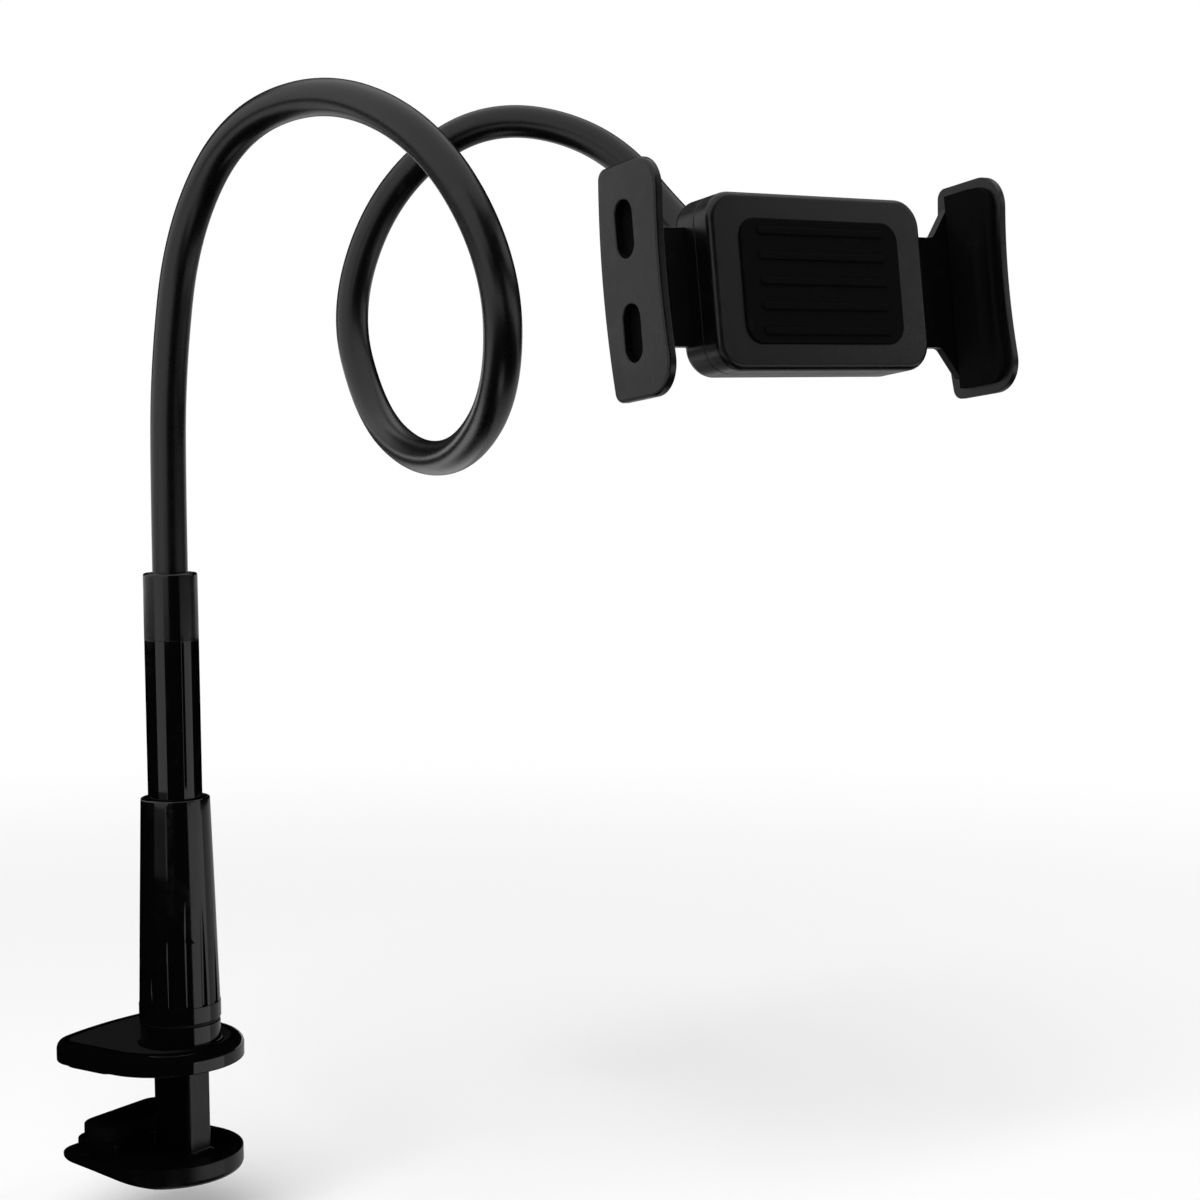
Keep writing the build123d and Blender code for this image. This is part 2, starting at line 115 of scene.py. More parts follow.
def roundedPath(corners, steps=5, closed=False):
    # straight runs with an arc of the given radius at each corner (a, b, radius)
    c = np.array(corners, float)
    out = []
    for k in range(len(c)):
        p = c[k, :2]
        if c[k, 2] <= 0 or (not closed and k in (0, len(c) - 1)):
            out.append(p[None])
            continue
        a, b = c[k - 1, :2] - p, c[(k + 1) % len(c), :2] - p
        a, b = a / np.linalg.norm(a), b / np.linalg.norm(b)
        half = math.acos(np.clip(a @ b, -1, 1)) / 2
        mid = (a + b) / np.linalg.norm(a + b)
        centre = p + mid * c[k, 2] / math.sin(half)
        first = p + a * c[k, 2] / math.tan(half) - centre
        last = p + b * c[k, 2] / math.tan(half) - centre
        t = arcSteps(0, math.pi - 2 * half, steps)[:, None]
        whole = math.sin(math.pi - 2 * half)
        out.append(centre + (np.sin(math.pi - 2 * half - t) * first + np.sin(t) * last) / whole)
    return np.concatenate(out)


def ringOf(corners, steps=14, runs=8):
    # closed outline of four rounded corners (x, y, radius), with the straight runs divided evenly
    arcs = roundedPath(corners, steps, closed=True).reshape(len(corners), steps + 1, 2)
    ends, starts = arcs[:, -1], np.roll(arcs[:, 0], -1, axis=0)
    t = np.linspace(0, 1, runs + 2)[1:-1, None]
    straight = ends[:, None] + (starts - ends)[:, None] * t
    return np.concatenate([arcs, straight], axis=1).reshape(-1, 2)


def rectRing(halfX, halfY, radius, **more):
    # rectangle about the origin, its four corners rounded alike
    x, y, r = halfX, halfY, radius
    return ringOf([(x, y, r), (-x, y, r), (-x, -y, r), (x, -y, r)], **more)


def circleRing(radius, **more):
    # four arcs, so that it joins the outlines of four corners point for point
    return rectRing(radius, radius, radius * nearlyFull, **more)


def stack(rows):
    # rows of (ring, height) as one grid: x and y from the ring, z from the height
    return np.stack([np.column_stack([r, np.broadcast_to(z, len(r))]) for r, z in rows])


def turned(profile, count=96):
    # x = r cos t, y = r sin t, z = z for a profile of (r, z) rows
    t = np.linspace(0, 2 * math.pi, count, endpoint=False)
    r, z = profile[:, :1], profile[:, 1:]
    return np.stack([r * np.cos(t), r * np.sin(t), np.repeat(z, count, 1)], axis=-1)


def edgeRows(ringAt, low, high, lowRound, highRound, steps=5):
    # a wall from low to high whose edges are quarter rounds, as rows of (ring at an inset, height)
    a = quarterSteps(steps)
    lower = [(ringAt(lowRound * (1 - math.sin(t))), low + lowRound * (1 - math.cos(t))) for t in a]
    upper = [(ringAt(highRound * (1 - math.cos(t))), high - highRound * (1 - math.sin(t))) for t in a]
    return lower + upper


# meshes
def gridFaces(rows, cols, loopRows, start=0):
    # quads of a grid whose columns close on themselves; its rows close where loopRows is set
    i = np.arange(rows if loopRows else rows - 1)[:, None]
    j = np.arange(cols)[None]
    k, n = (i + 1) % rows, (j + 1) % cols
    quads = np.stack([i * cols + j, i * cols + n, k * cols + n, k * cols + j], axis=-1)
    return quads.reshape(-1, 4) + start


def shell(points, loopRows=False, capLow=True, capHigh=True, paint=None):
    # a grid of points, how it closes, and its bands of finish
    return {"points": points, "loopRows": loopRows, "capLow": capLow, "capHigh": capHigh, "paint": paint}


def meshOf(name, shells, unit=mm):
    # grids and their end caps in one mesh; paint gives a material number for each band of a grid
    verts, faces, paints, start = [], [], [], 0
    for s in shells:
        rows, cols = s["points"].shape[:2]
        quads = gridFaces(rows, cols, s["loopRows"], start)
        bands = len(quads) // cols
        paints.append(np.repeat(np.zeros(bands, int) if s["paint"] is None else np.array(s["paint"]), cols))
        faces += quads.tolist()
        caps = [] if s["loopRows"] else [s["capLow"], s["capHigh"]]
        for wanted, row in zip(caps, (0, rows - 1)):
            if wanted:
                faces.append((np.arange(cols) + start + row * cols).tolist())
                paints.append([0 if s["paint"] is None else s["paint"][0 if row == 0 else -1]])
        verts.append(s["points"].reshape(-1, 3))
        start += rows * cols
    mesh = bpy.data.meshes.new(name)
    mesh.from_pydata(np.concatenate(verts), [], faces)
    mesh.polygons.foreach_set("material_index", np.concatenate(paints).astype(np.int32))
    work = bmesh.new()
    work.from_mesh(mesh)
    bmesh.ops.remove_doubles(work, verts=work.verts, dist=mergeGap * unit)
    bmesh.ops.dissolve_degenerate(work, edges=work.edges, dist=thinEdge * unit)
    bmesh.ops.recalc_face_normals(work, faces=work.faces)
    work.to_mesh(mesh)
    work.free()
    return mesh


def objectOf(name, data):
    obj = bpy.data.objects.new(name, data)
    bpy.context.scene.collection.objects.link(obj)
    return obj


def cut(obj, shells, unit=mm):
    # takes the shells out of the object, and keeps the result as its mesh
    tool = objectOf("cutter", meshOf("cutter", shells, unit))
    boolean = obj.modifiers.new("cut", "BOOLEAN")
    boolean.object, boolean.operation, boolean.solver = tool, "DIFFERENCE", "EXACT"
    bpy.context.view_layer.update()
    made = bpy.data.meshes.new_from_object(obj.evaluated_get(bpy.context.evaluated_depsgraph_get()))
    obj.modifiers.clear()
    obj.data = made
    bpy.data.objects.remove(tool)


def finishPiece(obj, materials, body, nodes, sharp=sharpAngle):
    for m in materials:
        obj.data.materials.append(m)
    obj.data.shade_smooth()
    obj.data.set_sharp_from_angle(angle=math.radians(sharp))
    normals = obj.modifiers.new("even normals", "WEIGHTED_NORMAL")
    normals.keep_sharp = True
    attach(obj, body)
    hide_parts(*nodes)
    print("made", obj.name, len(obj.data.polygons), "faces")


def piece(name, shells, materials, body, nodes, sharp=sharpAngle):
    finishPiece(objectOf(name, meshOf(name, shells)), materials, body, nodes, sharp)


# node groups for the finishes
grainMix = {"coarseScale": 0.23, "fineShare": 0.65, "coarseShare": 0.35, "low": 0.35, "high": 0.65}
wear = {"broadScale": 38.0, "streakScale": 210.0, "smearFrom": 0.15, "smearTo": 0.4,
        "filmFrom": 0.28, "filmTo": 0.5, "dust": (0.3, 0.3, 0.3, 1)}


def newGroup(name, inputs, outputs):
    group = bpy.data.node_groups.new(name, "ShaderNodeTree")
    for label, kind, value in inputs:
        socket = group.interface.new_socket(label, in_out="INPUT", socket_type=kind)
        socket.default_value = value
    for label, kind in outputs:
        group.interface.new_socket(label, in_out="OUTPUT", socket_type=kind)
    return group, group.nodes.new("NodeGroupInput"), group.nodes.new("NodeGroupOutput")


def node(tree, kind, **values):
    made = tree.nodes.new(kind)
    for key, value in values.items():
        setattr(made, key, value)
    return made


def mathNode(tree, operation, a, b=None, clamp=False):
    made = node(tree, "ShaderNodeMath", operation=operation, use_clamp=clamp)
    for socket, value in zip(made.inputs, (a, b)):
        if isinstance(value, (int, float)):
            socket.default_value = value
        elif value is not None:
            tree.links.new(value, socket)
    return made.outputs[0]


def rangeNode(tree, value, low, high, outLow, outHigh, smooth=False):
    made = node(tree, "ShaderNodeMapRange")
    if smooth:
        made.interpolation_type = "SMOOTHSTEP"
    tree.links.new(value, made.inputs["Value"])
    for label, number in (("From Min", low), ("From Max", high), ("To Min", outLow), ("To Max", outHigh)):
        if isinstance(number, (int, float)):
            made.inputs[label].default_value = number
        else:
            tree.links.new(number, made.inputs[label])
    return made.outputs["Result"]


def noiseNode(tree, place, scale, detail=3.0, rough=0.55):
    made = node(tree, "ShaderNodeTexNoise")
    tree.links.new(place, made.inputs["Vector"])
    if isinstance(scale, (int, float)):
        made.inputs["Scale"].default_value = scale
    else:
        tree.links.new(scale, made.inputs["Scale"])
    made.inputs["Detail"].default_value = detail
    made.inputs["Roughness"].default_value = rough
    return made.outputs["Fac"]


def makeMouldGrain():
    # spark-eroded mould texture: two sizes of noise, as a height and as a roughness
    group, into, out = newGroup(
        "mould grain",
        [("Vector", "NodeSocketVector", (0, 0, 0)), ("Scale", "NodeSocketFloat", 2500.0),
         ("Smooth", "NodeSocketFloat", 0.3), ("Matt", "NodeSocketFloat", 0.5)],
        [("Height", "NodeSocketFloat"), ("Roughness", "NodeSocketFloat")],
    )
    g = grainMix
    fine = noiseNode(group, into.outputs["Vector"], into.outputs["Scale"], detail=2.0, rough=0.5)
    larger = mathNode(group, "MULTIPLY", into.outputs["Scale"], g["coarseScale"])
    coarse = noiseNode(group, into.outputs["Vector"], larger)
    both = mathNode(group, "ADD", mathNode(group, "MULTIPLY", fine, g["fineShare"]),
                    mathNode(group, "MULTIPLY", coarse, g["coarseShare"]))
    group.links.new(both, out.inputs["Height"])
    matted = rangeNode(group, both, g["low"], g["high"], into.outputs["Smooth"], into.outputs["Matt"])
    group.links.new(matted, out.inputs["Roughness"])
    return group


def makeHandling():
    # faint smears and dust from use: changes of roughness and a thin grey film
    group, into, out = newGroup(
        "handling",
        [("Vector", "NodeSocketVector", (0, 0, 0)), ("Roughness", "NodeSocketFloat", 0.3),
         ("Smear", "NodeSocketFloat", 0.06), ("Color", "NodeSocketColor", (0, 0, 0, 1)),
         ("Film", "NodeSocketFloat", 0.02)],
        [("Roughness", "NodeSocketFloat"), ("Color", "NodeSocketColor")],
    )
    broad = noiseNode(group, into.outputs["Vector"], wear["broadScale"], detail=4.0, rough=0.6)
    streak = noiseNode(group, into.outputs["Vector"], wear["streakScale"], detail=5.0, rough=0.7)
    patches = mathNode(group, "MULTIPLY", broad, streak)
    spread = rangeNode(group, patches, wear["smearFrom"], wear["smearTo"], -1.0, 1.0)
    smeared = mathNode(group, "MULTIPLY", spread, into.outputs["Smear"])
    rough = mathNode(group, "ADD", into.outputs["Roughness"], smeared, clamp=True)
    group.links.new(rough, out.inputs["Roughness"])
    film = node(group, "ShaderNodeMix", data_type="RGBA")
    dusty = rangeNode(group, patches, wear["filmFrom"], wear["filmTo"], 0.0, 1.0, smooth=True)
    group.links.new(mathNode(group, "MULTIPLY", dusty, into.outputs["Film"]), film.inputs["Factor"])
    base, over, mixed = film.inputs[6], film.inputs[7], film.outputs[2]  # the colour sockets of a Mix node
    group.links.new(into.outputs["Color"], base)
    over.default_value = wear["dust"]
    group.links.new(mixed, out.inputs["Color"])
    return group


mouldGrain = makeMouldGrain()
handling = makeHandling()


def finishOf(name, color, grainScale, smooth, matt, depth, smear=0.05, film=0.01, ior=1.46, metallic=0.0,
             stretch=(1, 1, 1)):
    # moulded, drawn or turned surface: grain for height and roughness, then handling over it
    material = bpy.data.materials.new(name)
    material.use_nodes = True
    tree = material.node_tree
    surface = tree.nodes["Principled BSDF"]
    place = node(tree, "ShaderNodeTexCoord").outputs["Object"]
    mapping = node(tree, "ShaderNodeMapping")
    mapping.inputs["Scale"].default_value = stretch
    tree.links.new(place, mapping.inputs["Vector"])
    grain = node(tree, "ShaderNodeGroup", node_tree=mouldGrain)
    tree.links.new(mapping.outputs[0], grain.inputs["Vector"])
    for label, value in (("Scale", grainScale), ("Smooth", smooth), ("Matt", matt)):
        grain.inputs[label].default_value = value
    worn = node(tree, "ShaderNodeGroup", node_tree=handling)
    tree.links.new(place, worn.inputs["Vector"])
    tree.links.new(grain.outputs["Roughness"], worn.inputs["Roughness"])
    for label, value in (("Smear", smear), ("Film", film), ("Color", (*color, 1))):
        worn.inputs[label].default_value = value
    bump = node(tree, "ShaderNodeBump")
    bump.inputs["Strength"].default_value = 1.0
    bump.inputs["Distance"].default_value = depth * mm
    tree.links.new(grain.outputs["Height"], bump.inputs["Height"])
    tree.links.new(bump.outputs[0], surface.inputs["Normal"])
    tree.links.new(worn.outputs["Roughness"], surface.inputs["Roughness"])
    tree.links.new(worn.outputs["Color"], surface.inputs["Base Color"])
    surface.inputs["IOR"].default_value = ior
    surface.inputs["Metallic"].default_value = metallic
    return material


black = (0.0012, 0.0012, 0.0013)
satinShell = finishOf("satin moulded shell", black, grainScale=2600, smooth=0.3, matt=0.36, depth=0.004)
grainTop = finishOf("grained jaw top", (0.010, 0.010, 0.0105), grainScale=1500, smooth=0.5, matt=0.62,
                    depth=0.05)
polishedRim = finishOf("polished jaw edge", black, grainScale=900, smooth=0.1, matt=0.14, depth=0.001)
glossTube = finishOf("polished tube", black, grainScale=700, smooth=0.05, matt=0.08, depth=0.0005)
glossColumn = finishOf("polished column", black, grainScale=800, smooth=0.09, matt=0.13, depth=0.001)
satinFerrule = finishOf("turned ferrule", black, grainScale=1800, smooth=0.16, matt=0.2, depth=0.002,
                        stretch=(1, 1, 6))
sleeve = finishOf("neck sleeve", black, grainScale=2200, smooth=0.28, matt=0.31, depth=0.0006, smear=0.02)
rubber = finishOf("pad rubber", (0.002, 0.002, 0.002), grainScale=1900, smooth=0.6, matt=0.75, depth=0.03,
                  ior=1.12)
turnedMetal = {"grainScale": 1500, "smooth": 0.2, "matt": 0.35, "depth": 0.003, "metallic": 1.0}
darkSteel = finishOf("blackened steel", (0.03, 0.03, 0.032), **{**turnedMetal, "smooth": 0.25, "matt": 0.4})
plainSteel = finishOf("spring steel", (0.55, 0.55, 0.56), **turnedMetal)
turnedBrass = finishOf("turned brass", (0.72, 0.52, 0.24), **turnedMetal)
bearingGrey = finishOf("bearing plastic", (0.004, 0.004, 0.004), grainScale=1800, smooth=0.4, matt=0.5,
                       depth=0.003, ior=1.3)
print("finishes ready")

# upper jaw: plate, boss and spigot as one loop of rings round the post's hole
jaw = {"halfWidth": 24.0, "reach": 34.5, "heel": 18.0, "corner": 9.0, "leastCorner": 0.3, "toeBulge": 3.0,
       "thick": 6.5, "edge": 3.0, "lip": 0.35, "rimTop": 4.1, "rimFoot": 4.25, "panelDepth": 0.25,
       "bossRadius": 12.4, "bossHeight": 6.4, "bossFillet": 0.8, "bossEdge": 0.3, "spigotRadius": 9.57,
       "holeX": 5.25, "holeY": 7.75, "holeCorner": 1.5}


def jawRing(inset):
    # D shape: two corners at the toe and a half round at the heel
    x, y, heel = jaw["halfWidth"] - inset, jaw["reach"] - inset, jaw["heel"] - inset
    r, full = max(jaw["corner"] - inset, jaw["leastCorner"]), x * nearlyFull
    return ringOf([(x, y, r), (-x, y, r), (-x, -heel, full), (x, -heel, full)])


def plateRing(inset):
    # the jaw's outline with its toe bulged: y + toeBulge (1 - (x / halfWidth)^2) y / reach, for y above 0
    ring = jawRing(inset)
    along = np.clip(ring[:, 1] / jaw["reach"], 0, 1)
    ring[:, 1] += jaw["toeBulge"] * along * (1 - (ring[:, 0] / jaw["halfWidth"])**2)
    return ring


def upperJawRows():
    # up the plate's edge, in over the rim, up the boss and the spigot, and down the hole
    low, spigotTop = heightsOf("upper_jaw")
    top = low + jaw["thick"]
    panel, bossTop = top - jaw["panelDepth"], top + jaw["bossHeight"]
    rows = edgeRows(plateRing, low, top, jaw["lip"], jaw["edge"], steps=8)
    rows += [(plateRing(jaw["rimTop"]), top), (plateRing(jaw["rimFoot"]), panel)]
    rimRows = len(rows)
    f, r, e = jaw["bossFillet"], jaw["bossRadius"], jaw["bossEdge"]
    rows += [(circleRing(r + f * (1 - math.sin(a))), panel + f * (1 - math.cos(a))) for a in quarterSteps(6)]
    rows += [(circleRing(r), bossTop - e), (circleRing(r - e), bossTop)]
    rows += [(circleRing(jaw["spigotRadius"]), bossTop), (circleRing(jaw["spigotRadius"]), spigotTop)]
    hole = rectRing(jaw["holeX"], jaw["holeY"], jaw["holeCorner"])
    rows += [(hole, spigotTop), (hole, low)]
    paint = [1] * (rimRows - 1) + [0] + [1] * (len(rows) - rimRows)  # grained panel inside a polished rim
    return shell(onColumn(stack(rows)), loopRows=True, paint=paint)


piece("upper_jaw_plate", [upperJawRows()], [grainTop, polishedRim], "clamp", ["upper_jaw"])

# rubber pads: the jaw's outline drawn in, with a straight back edge
pads = {"backEdge": 10.0, "inset": 2.6, "frontCorner": 6.4, "backCorner": 3.0, "edge": 0.5, "crispEdge": 0.05}


def padRing(inset):
    # four rounded corners: the toe and the sides drawn in, the back edge moved forward
    x, y = jaw["halfWidth"] - inset, jaw["reach"] - inset
    back = pads["backEdge"] + inset - pads["inset"]
    f, b = pads["frontCorner"], pads["backCorner"]
    return ringOf([(x, y, f), (-x, y, f), (-x, back, b), (x, back, b)])


def padRows(inset, low, high, lowRound, highRound):
    # the pad's outline carried from low to high, with quarter rounds at both edges
    def ring(drawn):
        return padRing(inset + drawn)

    return shell(onColumn(stack(edgeRows(ring, low, high, lowRound, highRound, steps=4))))


upperPad = padRows(pads["inset"], *heightsOf("upper_jaw_pad"), pads["edge"], pads["crispEdge"])
piece("upper_pad", [upperPad], [rubber], "clamp", ["upper_jaw_pad"])

# lower jaw: D-shaped hull that is deep at the heel and thin at the toe, plinth and post
hull = {"inset": 0.9, "heelDepth": 6.8, "toeDepth": 1.8, "flatTo": -6.0, "bottomRound": 2.2,
        "roundShare": 0.6, "edge": 0.4, "floorInsets": (7.0, 11.0, 15.0, 19.0),
        "plinthInset": 4.6, "plinthHeight": 4.2, "plinthRoot": 0.5, "plinthEdge": 0.5,
        "padInset": 6.0, "padEdge": 0.6, "postX": 5.1, "postY": 7.6, "postCorner": 1.5,
        "postFlare": 1.4, "postRoot": 1.0, "postEdge": 0.4, "boreRadius": 4.15, "boreDepth": 48.0}


def hullRows(top):
    # height = top - part of the depth at that y; the depth falls in a straight line towards the toe
    def depthAt(ring):
        along = np.clip((ring[:, 1] - hull["flatTo"]) / (jaw["reach"] - hull["flatTo"]), 0, 1)
        return hull["heelDepth"] + (hull["toeDepth"] - hull["heelDepth"]) * along

    e, r, drawn = hull["edge"], hull["bottomRound"], hull["inset"]
    rows = [(jawRing(drawn + e * (1 - math.sin(a))), top - e * (1 - math.cos(a))) for a in quarterSteps(4)]
    for a in quarterSteps(10):
        ring = jawRing(drawn + r * (1 - math.cos(a)))
        depth = depthAt(ring)
        rows.append((ring, top - depth + np.minimum(r, hull["roundShare"] * depth) * (1 - math.sin(a))))
    for inset in hull["floorInsets"]:
        ring = jawRing(inset)
        rows.append((ring, top - depthAt(ring)))
    return shell(onColumn(stack(rows)))


def postRows(top, postTop):
    # a foot that flares by a quarter round, straight sides, an eased top, then down the bore
    def post(out):
        return rectRing(hull["postX"] + out, hull["postY"] + out, hull["postCorner"] + out)

    f, e, bore = hull["postFlare"], hull["postEdge"], circleRing(hull["boreRadius"])
    rows = [(post(f), top - hull["postRoot"])]
    rows += [(post(f * (1 - math.sin(a))), top + f * (1 - math.cos(a))) for a in quarterSteps(5)]
    rows += [(post(0), postTop - e), (post(-e), postTop)]
    rows += [(bore, postTop), (bore, postTop - hull["boreDepth"])]
    return shell(onColumn(stack(rows)))


hullLow, postTop = heightsOf("lower_jaw")
hullTop = hullLow + hull["heelDepth"]
plinthTop = hullTop + hull["plinthHeight"]
plinth = padRows(hull["plinthInset"], hullTop - hull["plinthRoot"], plinthTop, pads["crispEdge"],
                 hull["plinthEdge"])
lowerJaw = [hullRows(hullTop), plinth, postRows(hullTop, postTop)]
piece("lower_jaw_moulding", lowerJaw, [satinShell], "lower_jaw", ["lower_jaw"])
lowerPad = padRows(hull["padInset"], *heightsOf("lower_jaw_pad"), pads["crispEdge"], hull["padEdge"])
piece("lower_pad", [lowerPad], [rubber], "lower_jaw", ["lower_jaw_pad"])

# column: tapered and fluted, with a rim round the tube's bush
grip = {"footRadius": 12.45, "midRadius": 11.62, "midHeight": 29.6, "topRadius": 10.6, "taperRows": 34,
        "ringRadius": 12.6, "ringHeight": 5.2, "ringInner": 11.4, "ringEdge": 0.2, "footEdge": 0.25,
        "rimEdge": 0.4, "boreRadius": 9.7, "boreEdge": 0.25, "boreLead": 2.0,
        "flutes": 14, "fluteRadius": 1.1, "fluteAxis": 12.6, "fluteTurn": 4.357,
        "webRadius": 3.05, "webLow": 52.2, "webHigh": 57.2,
        "postRadius": 8.23, "spigotBore": 9.63, "spigotBoreTop": 24.9}


def lobedRows(profile, lobes, axis, radius, turn, across=10, land=10, leastEdge=2e-4, tiny=1e-9):
    # a turned profile (r, z, cut) with round grooves along it: each groove is a circle of the given radius on
    # the axis circle, and its columns run along the groove's two edges, so that the edges stay crisp
    r, z, carve = profile[:, :1], profile[:, 1:2], profile[:, 2:]
    cosine = np.clip((axis**2 + r**2 - radius**2) / (2 * axis * r + tiny), -1, 1)
    edge = np.where((carve > 0) & (r > axis - radius), np.arccos(cosine), 0.0)
    edge = np.where(carve > 0, edge, np.arccos((axis**2 + axis**2 - radius**2) / (2 * axis**2)))
    edge = np.maximum(edge, leastEdge)
    pitch = 2 * math.pi / lobes
    groove = edge * np.linspace(-1, 1, 2 * across + 1)[None]
    flat = edge + (pitch - 2 * edge) * np.linspace(0, 1, land + 1)[None, 1:-1]
    offset = np.concatenate([groove, flat], axis=1)
    depth = axis * np.cos(offset) - np.sqrt(np.maximum(radius**2 - (axis * np.sin(offset))**2, 0))
    inGroove = (np.arange(offset.shape[1]) <= 2 * across)[None] & (carve > 0)
    rr = np.where(inGroove, np.minimum(r, depth), r)
    t = offset[:, None] + (np.arange(lobes) * pitch + math.radians(turn))[None, :, None]
    rr = np.broadcast_to(rr[:, None], t.shape).reshape(len(r), -1)
    t = t.reshape(len(r), -1)
    return np.stack([rr * np.cos(t), rr * np.sin(t), np.broadcast_to(z, t.shape)], axis=-1)


def columnRows():
    # profile of (r, z, fluted): foot and ring plain, two tapers fluted, rim and bore plain
    g = grip
    low, top = heightsOf("column")
    ringTop = low + g["ringHeight"]
    mid = ringTop + g["midHeight"]
    edge = g["rimEdge"]
    share = np.linspace(0, 1, g["taperRows"])

    def taper(r0, z0, r1, z1):
        return np.column_stack([r0 + (r1 - r0) * share, z0 + (z1 - z0) * share, np.ones(len(share))])

    def plain(rows):
        return np.column_stack([rows, np.zeros(len(rows))])

    lower = taper(g["footRadius"], ringTop, g["midRadius"], mid)
    upper = taper(g["midRadius"], mid, g["topRadius"], top - edge)[1:]
    foot = roundedPath([(g["spigotBore"], low, 0), (g["ringRadius"], low, g["footEdge"]),
                        (g["ringRadius"], ringTop, g["ringEdge"]), (g["ringInner"], ringTop, 0)], steps=4)
    bore, web, post = g["boreRadius"], g["webRadius"], g["postRadius"]
    rim = roundedPath([(g["topRadius"], top - edge, 0), (g["topRadius"], top, edge),
                       (bore, top, g["boreEdge"]), (bore, top - g["boreLead"], 0)], steps=5)[1:]
    inside = np.array([(bore, g["webHigh"]), (web, g["webHigh"]), (web, g["webLow"]), (post, g["webLow"]),
                       (post, g["spigotBoreTop"]), (g["spigotBore"], g["spigotBoreTop"])])
    profile = np.concatenate([plain(foot), lower, upper, plain(rim), plain(inside)])
    grooves = lobedRows(profile, g["flutes"], g["fluteAxis"], g["fluteRadius"], g["fluteTurn"])
    return shell(onColumn(grooves), loopRows=True)


piece("turning_column", [columnRows()], [glossColumn], "column", ["column"], sharp=24)

# extension tube and its ferrule
tube = {"radius": 8.3, "bore": 7.3, "footEdge": 0.3, "seam": 0.12, "ferruleEdge": 0.8, "plugGap": 0.05,
        "plugEdge": 0.4, "neckHole": 5.45, "mouthEdge": 0.25, "holeDepth": 14.5}
tubeLow, tubeTop = heightsOf("extension_tube")
ferruleLow, ferruleTop = heightsOf("ferrule")


def tubeRows():
    # section of the wall, turned about the column's axis
    corners = [(tube["bore"], tubeLow, 0), (tube["radius"], tubeLow, tube["footEdge"]),
               (tube["radius"], tubeTop, tube["seam"]), (tube["bore"], tubeTop, 0)]
    return shell(onColumn(turned(roundedPath(corners, steps=4, closed=True))), loopRows=True)


def ferruleRows():
    # section up the plug, out to the shoulder, over the mouth and down the neck's hole, turned
    plug, hole = tube["bore"] - tube["plugGap"], tube["neckHole"]
    floor = ferruleTop - tube["holeDepth"]
    corners = [(poleRadius, ferruleLow, 0), (plug, ferruleLow, tube["plugEdge"]), (plug, tubeTop, 0),
               (tube["radius"], tubeTop, tube["seam"]), (tube["radius"], ferruleTop, tube["ferruleEdge"]),
               (hole, ferruleTop, tube["mouthEdge"]), (hole, floor, 0), (poleRadius, floor, 0)]
    return shell(onColumn(turned(roundedPath(corners, steps=6))))


piece("polished_tube", [tubeRows()], [glossTube], "arm", ["extension_tube"])
piece("lower_ferrule", [ferruleRows()], [satinFerrule], "arm", ["ferrule"])

# gooseneck: a round sleeve on a smooth line led by the route's points, in millimetres from the ferrule's top
neck = {"radius": 5.4, "start": -14.5, "around": 40, "divisions": 22,
        "route": [(0.0, 0.0, 21.5), (1.0, 0.0, 61.0), (4.0, -4.5, 104.5), (2.0, -28.5, 134.5),
                  (-3.0, -69.5, 140.5), (-11.0, -111.0, 123.0), (-9.0, -132.5, 88.5), (5.5, -123.0, 54.0),
                  (39.5, -84.0, 35.0), (64.0, -46.0, 33.5), (80.5, -15.0, 48.5), (88.0, 2.0, 84.5),
                  (97.0, -10.5, 125.0), (116.5, -36.5, 149.5), (135.5, -73.5, 140.5), (140.9, -100.4, 107.3),
                  (129.8, -127.1, 91.8)]}


def splineLine(points, divisions):
    # points along a NURBS spline of order 3 whose control points are the route's points
    curve = bpy.data.curves.new("route", "CURVE")
    curve.dimensions = "3D"
    spline = curve.splines.new("NURBS")
    spline.points.add(len(points) - 1)
    spline.points.foreach_set("co", np.column_stack([points, np.ones(len(points))]).ravel())
    spline.order_u = 3
    spline.use_endpoint_u = True
    spline.resolution_u = divisions
    holder = objectOf("route", curve)
    bpy.context.view_layer.update()
    mesh = bpy.data.meshes.new_from_object(holder.evaluated_get(bpy.context.evaluated_depsgraph_get()))
    line = np.empty(len(mesh.vertices) * 3)
    mesh.vertices.foreach_get("co", line)
    bpy.data.objects.remove(holder)
    bpy.data.meshes.remove(mesh)
    return line.reshape(-1, 3)


def tubeAlong(line, radius, around):
    # rings of the given radius square to the line; each ring's frame is the last one's, tipped by the bend
    tangent = np.gradient(line, axis=0)
    tangent /= np.linalg.norm(tangent, axis=1)[:, None]
    side = [np.cross(tangent[0], (0.0, 1.0, 0.0))]
    for t in tangent[1:]:
        s = side[-1] - t * (side[-1] @ t)
        side.append(s / np.linalg.norm(s))
    side = np.array(side)
    other = np.cross(tangent, side)
    a = np.linspace(0, 2 * math.pi, around, endpoint=False)[None, :, None]
    return line[:, None] + radius * (np.cos(a) * side[:, None] + np.sin(a) * other[:, None])


neckPoints = onColumn(np.array([(0.0, 0.0, neck["start"])] + neck["route"]) + (0.0, 0.0, ferruleTop))
neckLine = splineLine(neckPoints, neck["divisions"])
piece("neck_sleeve", [shell(tubeAlong(neckLine, neck["radius"] * mm, neck["around"]))], [sleeve], "arm",
      ["gooseneck"], sharp=50)

# upper ferrule and ball stud, turned about the neck's end
neckEnd = {"reach": 17.0, "radius": 7.2, "noseRadius": 5.2, "nose": 3.0, "socket": 13.0, "floor": 7.0,
           "edge": 0.8, "noseEdge": 0.5, "hole": 5.45, "holeEdge": 0.25, "studRadius": 2.75, "studGap": 0.06,
           "studEdge": 0.1, "studNeck": 3.2, "stemGap": 0.05, "ballRadius": 7.0, "ballPole": 0.003}


